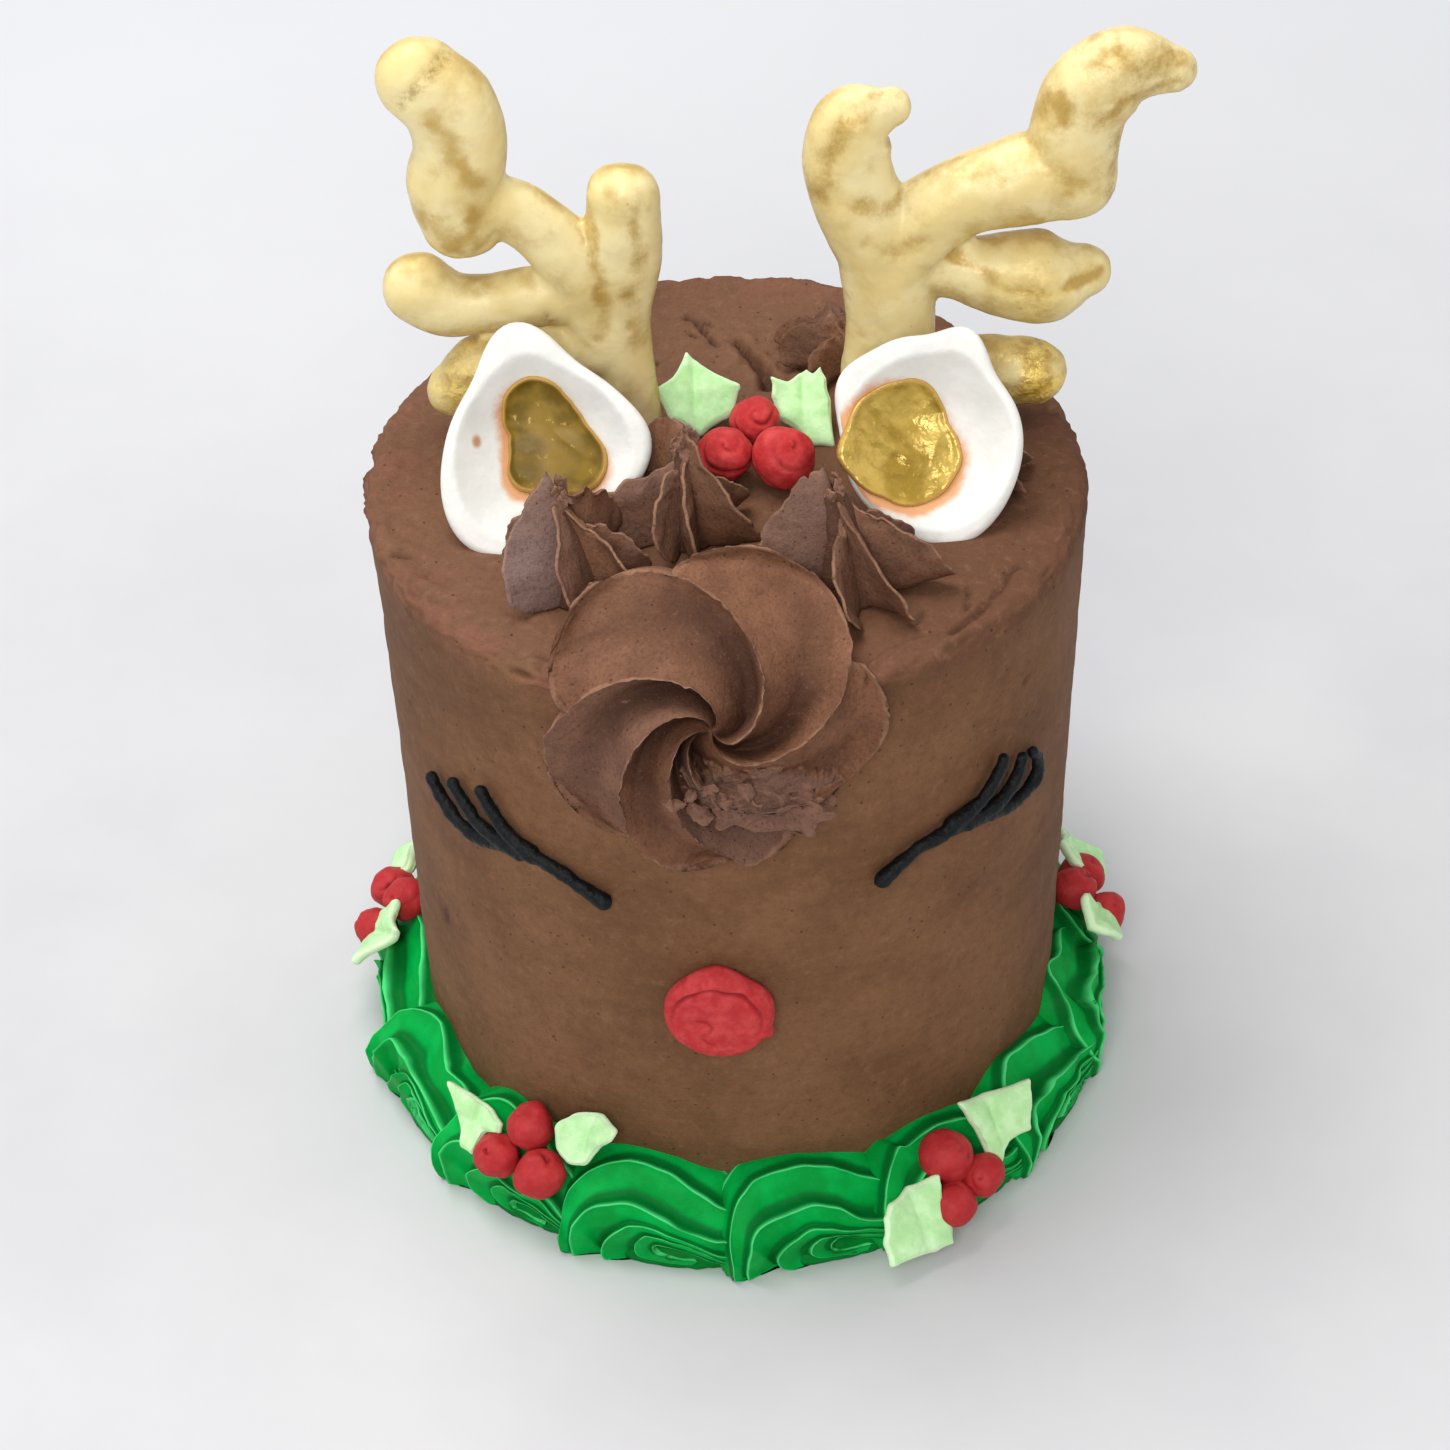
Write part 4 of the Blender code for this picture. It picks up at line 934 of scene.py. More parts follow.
def gold_antler():
    """Cream icing brushed with gold, most of it in patches, and painted shade as gold along the sides and
    undersides.
    """
    look = Look("gold antler", 0.5, 0.4)
    foil = look.mark("foil")
    look.skin = look.blend(look.noise(10, 3, 0.5), 0.35, 0.65, (226, 204, 138), (238, 222, 166))
    breaking = look.noise(1.7, 5, 0.75)
    clouds = look.between(look.noise(7.0, 3, 0.5), 0.46, 0.72, 0.0, 0.4)
    broken = look.times(look.reckon("SUBTRACT", breaking, 0.5), 0.75)
    gold = look.between(look.plus(look.plus(look.mark("gold"), clouds), broken), 0.05, 1.0)
    # Gold in patches and strokes, and painted shade as gold along the sides and undersides
    look.coat(look.times(gold, 0.95), (194, 160, 82))
    leaf = look.blend(look.noise(2.2, 4, 0.6), 0.4, 0.62, (190, 150, 50), (240, 208, 108))
    look.skin = look.mix(foil, look.skin, leaf)
    specked = look.times(look.mark("dark"), look.between(breaking, 0.4, 0.66))
    look.coat(look.times(specked, 0.8), (128, 100, 50))
    look.coat(look.times(look.spots(5.0, 0.06), 0.7), (206, 164, 66))
    look.give("Metallic", look.plus(look.times(gold, 0.2), look.times(foil, 0.35)))
    look.give("Roughness", look.between(breaking, 0.3, 0.7, 0.32, 0.5))
    look.relief(look.noise(1.1, 4, 0.6), 0.05)
    look.relief(look.noise(4.0, 3, 0.5), 0.3)
    look.relief(look.times(foil, look.noise(2.2, 4, 0.6)), 0.9)
    return look.done()


def red_icing():
    """Matt red, with painted shade in its folds and on the berries round the base."""
    look = Look("red icing", 0.52, 0.16, scatter=(0.1, 1.0, 0.2, 0.1))
    look.skin = look.blend(look.noise(2.2, 4, 0.6), 0.35, 0.7, (180, 44, 47), (201, 68, 68))
    # Painted shade on the berries round the base
    look.coat(look.times(look.mark("low"), 0.6), (158, 34, 38))
    # Painted shade in the folds
    look.coat(look.between(look.mark("deep"), 0.2, 1.0, 0.0, 0.75), (126, 18, 24))
    look.relief(look.noise(0.6, 3, 0.6), 0.08)
    look.relief(look.noise(1.8, 3, 0.5), 0.18)
    return look.done()


def black_icing():
    """Black with faint grey clouds."""
    look = Look("black icing", 0.45, 0.2)
    look.skin = look.blend(look.noise(1.2, 3, 0.6), 0.35, 0.7, (5, 7, 8), (16, 21, 23))
    look.relief(look.noise(0.6, 3, 0.6), 0.3)
    return look.done()


def green_icing():
    """Glossy green, with a painted highlight along the thin lips and painted shade in the folds."""
    look = Look("green icing", 0.5, 0.07, scatter=(0.1, 0.1, 1.0, 0.2))
    look.skin = look.blend(look.noise(5, 3, 0.5), 0.35, 0.7, (0, 150, 58), (0, 172, 74))
    # Painted shade in the folds before each lip and under the eye
    look.coat(look.between(look.mark("deep"), 0.25, 1.0, 0.0, 0.8), (0, 92, 32))
    # Painted highlight along the thin lips
    look.coat(look.between(look.mark("edge"), 0.05, 0.9, 0.0, 0.9), (84, 228, 134))
    look.relief(look.noise(0.7, 3, 0.6), 0.07)
    look.relief(look.noise(2.4, 3, 0.5), 0.15)
    return look.done()


def pale_green_icing():
    """Mint leaves, paler along the edge, with a faint rosy trace there."""
    look = Look("pale green icing", 0.55, 0.2, scatter=(0.15, 0.5, 1.0, 0.4))
    edge = look.mark("edge")
    look.skin = look.blend(look.noise(3, 4, 0.6), 0.35, 0.7, (178, 226, 160), (204, 241, 188))
    look.coat(look.between(edge, 0.4, 1.0, 0.0, 0.7), (222, 246, 206))
    ragged = look.times(edge, look.between(look.noise(2.6, 3, 0.6), 0.55, 0.72))
    look.coat(look.times(ragged, 0.12), (226, 190, 160))
    look.relief(look.noise(0.7, 3, 0.6), 0.06)
    look.relief(look.noise(2.0, 3, 0.5), 0.25)
    return look.done()


# Cake

def cake_radius(height):
    return CAKE_BASE_RADIUS + (CAKE_TOP_RADIUS - CAKE_BASE_RADIUS) * height / CAKE_HEIGHT


def cake_profile():
    """Rows from the middle of the base to that of the top: radius, height, waviness, tilt of the skin."""
    corner_radius = CAKE_TOP_RADIUS + CAKE_LIP - CAKE_EDGE_RADIUS
    corner_height = CAKE_HEIGHT - CAKE_EDGE_RADIUS
    rows = [(share * CAKE_BASE_RADIUS, 0.0, 0.0, -90.0) for share in CAKE_BASE_ROWS]
    for height in np.linspace(0.3, corner_height, CAKE_SIDE_ROWS, endpoint=False):
        share = max(0.0, (height - CAKE_LIP_START) / (corner_height - CAKE_LIP_START))
        radius = cake_radius(min(height, CAKE_LIP_START))
        radius += share * (corner_radius + CAKE_EDGE_RADIUS - cake_radius(CAKE_LIP_START))
        rows.append((radius, height, share, 0.0))
    for degrees in np.linspace(0, 90, CAKE_EDGE_ROWS):
        turn = math.radians(degrees)
        rows.append((corner_radius + CAKE_EDGE_RADIUS * math.cos(turn),
                     corner_height + CAKE_EDGE_RADIUS * math.sin(turn), 1.0, degrees))
    flat = CAKE_FLAT_SHARE * CAKE_TOP_RADIUS
    for radius in np.linspace(corner_radius, 0.4, CAKE_TOP_ROWS)[1:]:
        rows.append((radius, CAKE_HEIGHT, max(0.0, (radius - flat) / (corner_radius - flat)), 90.0))
    return rows


def cake_rough(grid):
    """How far the rough places on the top stand out."""
    uneven = 0.5 + bumpy(grid, CAKE_ROUGH_LUMPS)
    out = 0
    for across, deep, wide, long, size in CAKE_ROUGH:
        out = out + spot(grid, across, deep, wide, long) * size * uneven
    return out


def cake_cracks(grid):
    """How far the cracks in the top and the crumbs beside them stand out, and the painted shade in the
    cracks.
    """
    out, dark = 0, 0
    wavering = grid[..., :2] + 0.35 * lumps(grid, 1.5, 11)[..., None]
    crumbs = 0.3 * (0.5 + lumps(grid, 1.2, 15))
    for path, first, last, depth in CAKE_CRACKS:
        gap, share = gap_to(wavering, path)
        groove = hill(gap, 0, first + (last - first) * share)
        out = out + depth * (hill(gap, last + 1.0, 0.7) * crumbs - groove)
        dark = np.maximum(dark, groove)
    return out, dark


def cake_scars(grid):
    """How far the scars in the rim stand out, the painted shade in the sunken ones, and where the raised ones
    are.
    """
    out, dark, raised = 0, 0, 0
    wavering = grid + 0.5 * lumps(grid, 1.8, 16)[..., None]
    uneven = 1.3 * (0.8 + 0.5 * lumps(grid, 1.3, 17))
    for path, wide, size in CAKE_SCARS:
        near = hill(gap_to(wavering, path)[0], 0, wide)
        out = out + near * size * uneven
        if size < 0:
            dark = np.maximum(dark, 0.7 * near)
        else:
            raised = np.maximum(raised, near)
    return out, dark, raised


def cake_side_marks(spokes, height):
    """How far the small marks on the side stand out, and the painted shade in them."""
    out, dark = 0, 0
    for degrees, level, wide, tall, size in CAKE_SIDE_MARKS:
        away = off_by(np.degrees(spokes) + 90, degrees) * math.radians(CAKE_BASE_RADIUS)
        near = hill(away, 0, wide) * hill(height, level, tall)
        out = out + near * size
        dark = np.maximum(dark, near * 0.9)
    return out, dark


def cake_body():
    """The round with its uneven lip, its skin moved out and in by all that marks it."""
    radius, height, waviness, tilt = columns_of(cake_profile())
    spokes = around(CAKE_SPOKES)
    wave = sum(size * np.sin(count * spokes + start) for count, size, start in CAKE_WAVES)
    rise = CAKE_CREST_HEIGHT * hill(spokes, CAKE_CREST_ANGLE, CAKE_CREST_SPREAD)
    grid = polar(spokes, radius + waviness * wave, height + waviness * rise)
    grid[..., 0] += waviness * CAKE_LIP_SHIFT
    turn = np.radians(tilt)
    outward = polar(spokes, np.cos(turn), np.sin(turn))
    side = unit(np.cos(turn)) ** 2
    top = unit(np.sin(turn))
    rim = hill(height, CAKE_HEIGHT, CAKE_RIM_FALL) * hill(radius, CAKE_TOP_RADIUS, CAKE_RIM_REACH)
    free = np.where(tilt < 0, 0.0, np.minimum(1, (height + 0.01) / CAKE_FOOT))
    scraped = unit(2.5 * lumps(grid, 11, 12)) * ridged(grid, 0.6, 2.2, (3.2, 3.2, 1.2), 13)
    scraped = scraped + 0.35 * ridged(grid, 0.5, 2, (1.6, 1.6, 0.9), 14)
    cracks, crack_shade = cake_cracks(grid)
    scars, scar_shade, raised = cake_scars(grid)
    marks, side_mark_shade = cake_side_marks(spokes, height)
    across, deep, level, wide, size = CAKE_DENT
    dent = size * hill(np.linalg.norm(grid - (across, deep, level), axis=-1), 0, wide)
    out = side * (bumpy(grid, CAKE_SIDE_LUMPS) + marks) + rim * (bumpy(grid, CAKE_RIM_LUMPS) + scraped)
    out = out + top * (bumpy(grid, CAKE_TOP_LUMPS) + cake_rough(grid) + cracks) + scars - dent
    grid = grid + outward * (out * free)[..., None]
    # Painted shade where the cracks, scars and side marks are sunken
    dark = np.maximum(np.maximum(top * crack_shade, scar_shade), side * side_mark_shade)
    rim = np.maximum(rim, raised)
    # Painted shade: the top and the rim darker towards the right, less so towards the back
    painted_right_shade = 0.6 * np.maximum(top, rim) * unit(0.25 + grid[..., 0] / 50)
    painted_right_shade = painted_right_shade * np.clip(1 - grid[..., 1] / 40, 0.1, 1)
    # Marks: painted shade on the top, on its right side and in the sunken marks, and the scraped rim's own
    # patches
    return closed(grid, {"top": top * 0.75, "rim": rim, "dark": dark, "painted_right_shade": painted_right_shade})


# Big swirl

def swirl_spokes():
    """For each spoke: degrees at the middle radius, turn, share along its blade, lobe, valley and number."""
    first = SWIRL_RIDGES[0]
    ends = SWIRL_RIDGES[1:] + ((first[0] + 360, *first[1:]),)
    even = np.arange(SWIRL_BLADE_POINTS) / SWIRL_BLADE_POINTS
    shares = even - SWIRL_LIP_CROWDING * np.sin(TAU * even) / TAU
    rows = []
    for number, (near, far) in enumerate(zip(SWIRL_RIDGES, ends)):
        for share in shares:
            rows.append((near[0] + share * (far[0] - near[0]), near[1] + share * (far[1] - near[1]), share,
                         near[2], near[3], number))
    return np.array(rows).T


def swirl_trough(share, reach, outer):
    """Depth of a blade's hollow between its two thin lips, as a share of the deepest."""
    valley = SWIRL_VALLEY + (outer - SWIRL_VALLEY) * unit(reach * 1.25 - 0.2)
    down = np.sin(math.pi / 2 * unit(share / valley) ** 0.75)
    up = np.sin(math.pi / 2 * unit((1 - share) / (1 - valley)) ** 0.9)
    return np.where(share < valley, down, up)


def swirl_lips(share, radius, near, far, least):
    """1 on the two lips of each blade, of these widths, and less by the eye."""
    return np.maximum(hill(share, 0, near), hill(share, 1.0, far)) * np.clip(radius / 6, least, 1)


def dome_height(reach):
    return SWIRL_HEIGHT * (1 - SWIRL_FALL * reach ** SWIRL_FALL_POWER)


def swirl_raw(grid, radius):
    """Where the torn patch lies: high inside its wandering edge, at SWIRL_TORN_EDGE on it."""
    raw = spot(grid, *SWIRL_TORN) + bumpy(grid, SWIRL_TORN_LUMPS) - 0.6 * hill(radius, 0, 2.0)
    return raw - unit((grid[..., 1] + 5.0) / 4)


def swirl_body():
    """Hollow blades with thin lips that spiral out from the eye, on a dome that reaches into the cake."""
    start, turn, share, lobe, outer, number = swirl_spokes()
    rim = SWIRL_RIM_LEAST + SWIRL_RIM_SWELL * np.sin(math.pi * share ** SWIRL_RIM_POWER) ** 0.7
    rim = SWIRL_RADIUS * rim * (1 + (lobe - 1) * np.sin(math.pi * share))
    back = np.array(SWIRL_BACK)
    reach = upright(back[:, 0], np.linspace(0.99, 0.02, SWIRL_ROWS) ** 0.85)
    front = upright(np.zeros(len(back)), np.ones(SWIRL_ROWS))
    radius = reach * rim
    angle = start + turn * np.log(np.hypot(radius, SWIRL_EYE_RADIUS) / SWIRL_MID_RADIUS)
    angle = angle + SWIRL_RIM_TURN * reach ** 5
    dome = dome_height(reach) - SWIRL_EYE_DIP * hill(reach, 0, SWIRL_EYE_REACH)
    deepest = SWIRL_TROUGH * np.minimum(1, SWIRL_TROUGH_GROWTH * reach)
    deepest = deepest * (1 - SWIRL_TROUGH_FADE * reach ** 1.5)
    trough = swirl_trough(share, reach, outer)
    height = front * (dome - deepest * trough - SWIRL_STEP * reach ** 2.5 * (share - 0.35))
    height[:len(back)] = back[:, 1:] * SWIRL_DEPTH
    grid = polar(np.radians(angle), radius, height)
    streaks = np.stack(np.broadcast_arrays(share * 9, radius / 9, number * 7.3), axis=-1)
    grid[..., 2] += front * 0.25 * lumps(streaks, 1.0, 21) * np.minimum(1, radius / 8)
    grid[..., 2] += front * bumpy(grid, SWIRL_LUMPS)
    lip = front * swirl_lips(share, radius, 0.035, 0.02, 0.25)
    grid[..., 2] += lip * (0.25 + 0.3 * lumps(grid, 1.5, 30))
    for axis in (0, 1):
        grid[..., axis] += lip * bumpy(grid, SWIRL_LIP_SWAY, axis)
    grid[..., :2] *= 1 + (front * hill(reach, 1, 0.12) * bumpy(grid, SWIRL_RIM_LUMPS))[..., None]
    stepped = front * hill(number, SWIRL_STEPPED_BLADE, 0.5)
    grid[..., 2] += stepped * unit(1.6 * reach - 0.7) * np.tanh(9 * (share - 0.66))
    raw = swirl_raw(grid, radius)
    torn = front * unit((raw - SWIRL_TORN_EDGE + 0.02) / 0.12)
    tear = front * hill(raw, SWIRL_TORN_EDGE, 0.07)
    ring = np.stack(np.broadcast_arrays(angle / 8, radius / 5, 0 * radius), axis=-1)
    creases = ridged(ring, 1, 2.6, 1.0, 24)
    shreds = ridged(grid, 0.5, 2, (3.0, 0.8, 9), 25)
    crumbled = 0.6 * creases + 0.7 * shreds + 0.35 * lumps(grid, 0.6, 33)
    grid[..., 2] += torn * (0.5 * deepest * trough - 0.9 + crumbled) + 0.3 * tear
    for axis in (0, 1):
        grid[..., axis] += torn * 0.8 * lumps(grid, 2.0, 26 + axis)
    saddle = SWIRL_SADDLE * (grid[..., 0] / SWIRL_RADIUS) ** 2
    grid[..., 2] += saddle * hill(grid[..., 1] / SWIRL_RADIUS, SWIRL_SADDLE_PLACE, SWIRL_SADDLE_SPREAD)
    # Painted highlight along the thin lips and, below, along the rim's edge
    edge = front * swirl_lips(share, radius, 0.02, 0.012, 0.3) * (0.95 + 0.5 * lumps(grid, 3, 28))
    outside = upright(np.zeros(len(back) - 1), np.ones(SWIRL_ROWS + 1))
    rim_edge = outside * hill(reach, 1.0, 0.026) * patchy(grid, 1.0, 0.6, 2.0, 34)
    # Painted shade deep in each blade's trough near the eye, and along the step of the stepped blade
    deep = front * trough ** 1.6 * unit(1.35 - reach)
    deep = np.maximum(deep, stepped * hill(share, 0.62, 0.05) * np.clip(2 * reach - 1, 0, 0.6))
    # Painted highlight on the torn crumbs and along the tear
    crumbs = torn * (0.5 * unit(creases) + 0.6 * unit(shreds) + 0.4 * lumps(grid, 0.8, 29))
    edge = np.maximum(np.maximum(edge * (1 - torn), rim_edge) + 0.7 * crumbs, 0.8 * tear)
    # Painted shade in the torn crevices too
    deep = np.maximum(deep * (1 - torn), torn * unit(-0.5 * creases - 0.5 * shreds))
    # The paler grey of the torn patch, and a painted cool light on two of the blades
    painted_cool_light_and_torn_pallor = 0.25 * torn + sum(pale * front * hill(number, blade, 0.5) for blade, pale in SWIRL_COOL_LIGHT)
    marks = {"painted_cool_light_and_torn_pallor": unit(painted_cool_light_and_torn_pallor), "edge": unit(edge), "deep": deep, "dull": unit(0.5 * torn + 0.2 * stepped)}
    bodies = [closed(grid, marks)]
    for flake, (across, along, over, long, wide, turn, tilt) in enumerate(SWIRL_FLAKES):
        bodies.append(scrap_body(flake_matrix(across, along, over, turn, tilt), long, wide, 40 + 3 * flake))
    points, faces, marks = joined(bodies)
    return moved(points, facing(SWIRL_CENTRE, FRONT, SWIRL_TILT)), faces, marks


def scrap_body(matrix, long, wide, seed):
    """A thin ragged scrap of icing, curled up at its edge."""
    angle = around(SCRAP_SPOKES)
    shares = np.linspace(SCRAP_EYE, 1, SCRAP_ROWS)
    share = upright(shares, shares[::-1])
    side = upright(-np.ones(SCRAP_ROWS), np.ones(SCRAP_ROWS))
    ring = polar(angle, 1.0, 0.0)
    outline = 1 + 0.4 * lumps(ring, 0.5, seed) + 0.3 * lumps(ring, 0.16, seed + 1)
    grid = polar(angle, share * outline, 0.0) * (long, wide, 1)
    curl = 0.9 * share ** 2 * lumps(grid, 2.0, seed + 2)
    grid[..., 2] = side * SCRAP_THICKNESS * (1.15 - share ** 3) + curl
    grid[..., 2] += 0.5 * lumps(grid, 0.9, seed + 2)
    # Painted highlight along the curled edge; the whole scrap has the paler grey of torn icing
    rim = hill(share, 1.0, 0.12) * (0.6 + 0.4 * lumps(grid, 1.5, seed))
    return closed(moved(grid, matrix), {"painted_cool_light_and_torn_pallor": 0.3, "edge": unit(rim), "deep": 0.0, "dull": 0.0})


def flake_matrix(across, along, over, turn, tilt):
    """Lays a scrap on the swirl's dome, in the swirl's own plane."""
    leaned = Matrix.Rotation(math.radians(turn), 4, "Z") @ Matrix.Rotation(math.radians(-tilt), 4, "X")
    level = dome_height(math.hypot(across, along) / SWIRL_RADIUS) - SCRAP_SINK * SWIRL_TROUGH + over
    return Matrix.Translation((across, along, level)) @ leaned


# Drop stars

def fin_body(place, lean, tallest, root, painted_cool_light_strength, fin, seed):
    """A thin wavy sheet that stands out from the star's axis, with a sharp torn edge."""
    degrees, reach, height, fullness = fin
    rise = upright(np.linspace(0, 1, FIN_ROWS))
    out = np.linspace(0, 1, FIN_COLUMNS) ** 0.8
    share = np.concatenate([out, out[::-1]])
    side = np.concatenate([np.ones(FIN_COLUMNS), -np.ones(FIN_COLUMNS)])
    foot = FIN_FOOT + (1 - FIN_FOOT) * np.sin(math.pi / 2 * unit(rise / 0.2))
    edge = reach * foot * (1 - 0.9 * rise ** fullness)
    half = FIN_LIP + (root * (1 - 0.7 * rise) - FIN_LIP) * (1 - share) ** 1.2
    turn = np.radians(degrees + FIN_BEND * ((1 - rise) ** 2 - 0.3) * share)
    plan = polar(turn, share * edge, rise * height)
    torn = hill(rise, 1, 0.25) * share ** 0.5
    wave = 1.3 * share * lumps(plan, 5.5, seed) + 0.6 * share ** 2 * lumps(plan, 2.2, seed + 1)
    across = side * half + wave + torn * 0.7 * lumps(plan, 1.8, seed + 2)
    away = polar(turn, 1.0, 0.0)
    beside = polar(turn + math.pi / 2, 1.0, 0.0)
    ragged = share ** 4 * bumpy(plan, FIN_RAGGED, seed)
    grid = plan + away * ragged[..., None] + beside * across[..., None]
    grid[..., 2] += torn * bumpy(plan, FIN_TORN, seed)
    grid = grid + (0.1 * np.minimum(1, 3 * rise) * lumps(plan, 1.3, seed + 7))[..., None] * beside
    level = np.maximum(grid[..., 2], 0)
    grid[..., :2] += np.array(place) + np.array(lean) * ((level / tallest) ** 2)[..., None]
    grid[..., 2] = level + CAKE_HEIGHT + STAR_CLEARANCE
    crisp = min(1.0, (STAR_THIN_ROOT / root) ** 2)
    # Painted highlight along the fin's thin edge and along its top
    thin = crisp * hill(share, 1.0, 0.02) * patchy(plan, 0.7, 0.6, 2.2, seed + 8)
    top = 0.7 * hill(rise, 1.0, 0.03) * share
    # A painted cool light on fins that face the left
    west = unit(np.cos(turn - STAR_COOL_LIGHT_TURN)) ** 3
    # Marks: painted shade towards the root between the fins
    marks = {"edge": unit(np.maximum(thin, top)), "deep": unit((1 - share) ** 1.5 * (1 - 0.4 * rise)),
             "dull": patchy(plan, 0.5, 0.5, 8, seed + 10),
             "painted_cool_light_and_torn_pallor": unit(painted_cool_light_strength * west * patchy(plan, 0.9, 0.5, 6, seed + 9))}
    return closed(grid, marks)


def star_body(place, lean, root, painted_cool_light_strength, fins, seed):
    """Fins drawn up round a core, each to a peak of its own."""
    tallest = max(fin[2] for fin in fins)
    widest = max(fin[1] for fin in fins)
    bodies = []
    for number, fin in enumerate(fins):
        bodies.append(fin_body(place, lean, tallest, root, painted_cool_light_strength, fin, seed + 11 * number))
    rise = upright(np.linspace(0, 1, FIN_ROWS))
    core = polar(around(STAR_SPOKES), STAR_CORE * widest * (1 - 0.75 * rise), STAR_CORE_RISE * tallest * rise)
    core = core + 0.3 * (lumps(core, 2.2, seed + 90) * np.minimum(1, 4 * rise))[..., None]
    core[..., :2] += np.array(place) + np.array(lean) * ((STAR_CORE_RISE * rise) ** 2)[..., None]
    core[..., 2] += CAKE_HEIGHT + STAR_CLEARANCE
    # The core in painted shade between the fins
    bodies.append(closed(core, {"edge": 0.0, "deep": 0.8, "dull": 0.5, "painted_cool_light_and_torn_pallor": 0.0}))
    if root < STAR_SOFT_ROOT:
        bodies += torn_tips(place, lean, tallest, seed + 95)
    return joined(bodies)


def torn_tips(place, lean, tallest, seed):
    """Small scraps that stand up where the nozzle was pulled away."""
    chance = np.random.default_rng(seed)
    scraps = []
    for number in range(TIP_SCRAPS):
        turn = TAU * number / TIP_SCRAPS + chance.uniform(-0.5, 0.5)
        share = chance.uniform(0.78, 0.95)
        across = place[0] + lean[0] * share ** 2 + TIP_REACH * math.cos(turn)
        deep = place[1] + lean[1] * share ** 2 + TIP_REACH * math.sin(turn)
        raised = Matrix.Rotation(math.radians(chance.uniform(60, 100)), 4, "Y")
        matrix = Matrix.Translation((across, deep, CAKE_HEIGHT + share * tallest))
        matrix = matrix @ Matrix.Rotation(turn, 4, "Z")
        long, wide = chance.uniform(1.5, 2.3), chance.uniform(0.7, 1.2)
        scraps.append(scrap_body(matrix @ raised, long, wide, seed + number))
    return scraps


# Ears

def ear_reach(angle, base, corners):
    """The outline's distance from the middle: a circle with soft corners."""
    reach = base * np.ones_like(angle)
    for degrees, more, spread in corners:
        reach = reach + more * hill(off_by(np.degrees(angle), degrees), 0, spread)
    return reach


def ear_frame(foot, base, corners):
    """Stands an ear on the cake's top by the lowest point of its outline."""
    angle = around(EAR_SIDES)
    lowest = (ear_reach(angle, base, corners) * np.sin(angle)).min()
    return facing((*foot, CAKE_HEIGHT - EAR_SUNK - lowest * math.cos(EAR_LEAN)), FRONT, EAR_LEAN)


def ear_level(angle, distance, base, corners):
    """Depth of the dish. It is rounder than the ear, so that the tip stays flat and thick."""
    edge = 0.9 * base + 0.4 * (ear_reach(angle, base, corners) - base)
    return -0.95 * EAR_CUP * np.cos(math.pi / 2 * unit(distance / edge) ** 1.5)


def ear_body(foot, base, corners, pool, seed):
    """A cupped teardrop with a thick round rim, leaning back."""
    angle = around(EAR_SPOKES)
    rim = EAR_THICKNESS / 2
    shares = np.linspace(0.03, 1, EAR_ROWS)
    rows = [(share, 0.0, -rim) for share in shares]
    turns = np.radians(np.linspace(-75, 75, 11))
    rows += [(1.0, rim * math.cos(turn), rim * math.sin(turn)) for turn in turns]
    rows += [(share, 0.0, rim) for share in shares[::-1]]
    share, more, level = columns_of(rows)
    distance = share * (ear_reach(angle, base, corners) - rim)
    grid = polar(angle, distance + more, level + ear_level(angle, distance, base, corners))
    grid[..., 2] += bumpy(grid, EAR_LUMPS, seed)
    grid[..., :2] *= 1 + 0.012 * lumps(grid, 7, seed + 2)[..., None]
    middle, edge = pool
    away = grid[..., :2] - np.array(middle)
    degrees = np.degrees(np.arctan2(away[..., 1], away[..., 0]))
    over = np.linalg.norm(away, axis=-1) - pool_reach(degrees, edge)
    front = upright(np.linspace(0, 1, len(rows))) > 0.55
    stain = front * unit(1 - over / STAIN_REACH)
    stain = stain * np.clip(0.9 - 0.04 * grid[..., 0] - 0.06 * grid[..., 1], 0.3, 1.2)
    smudge = front * spot(grid, *EAR_SMUDGE) * (foot[0] < 0)
    return closed(moved(grid, ear_frame(foot, base, corners)), {"stain": stain, "smudge": smudge})


def pool_reach(degrees, corners):
    """Distance of the gold's edge from its middle, in this direction."""
    turn, reach = np.array(corners + corners[:1]).T
    corner = polar(np.radians(turn), reach, 0.0)
    share = np.linspace(0, 1, 8, endpoint=False)[None, :, None]
    points = (corner[:-1, None] * (1 - share) + corner[1:, None] * share).reshape(-1, 3)
    places = np.degrees(np.arctan2(points[:, 1], points[:, 0]))
    reach = np.hypot(points[:, 0], points[:, 1])
    return sum(np.interp(degrees + turn, places, reach, period=360) for turn in (-9, -3, 3, 9)) / 4


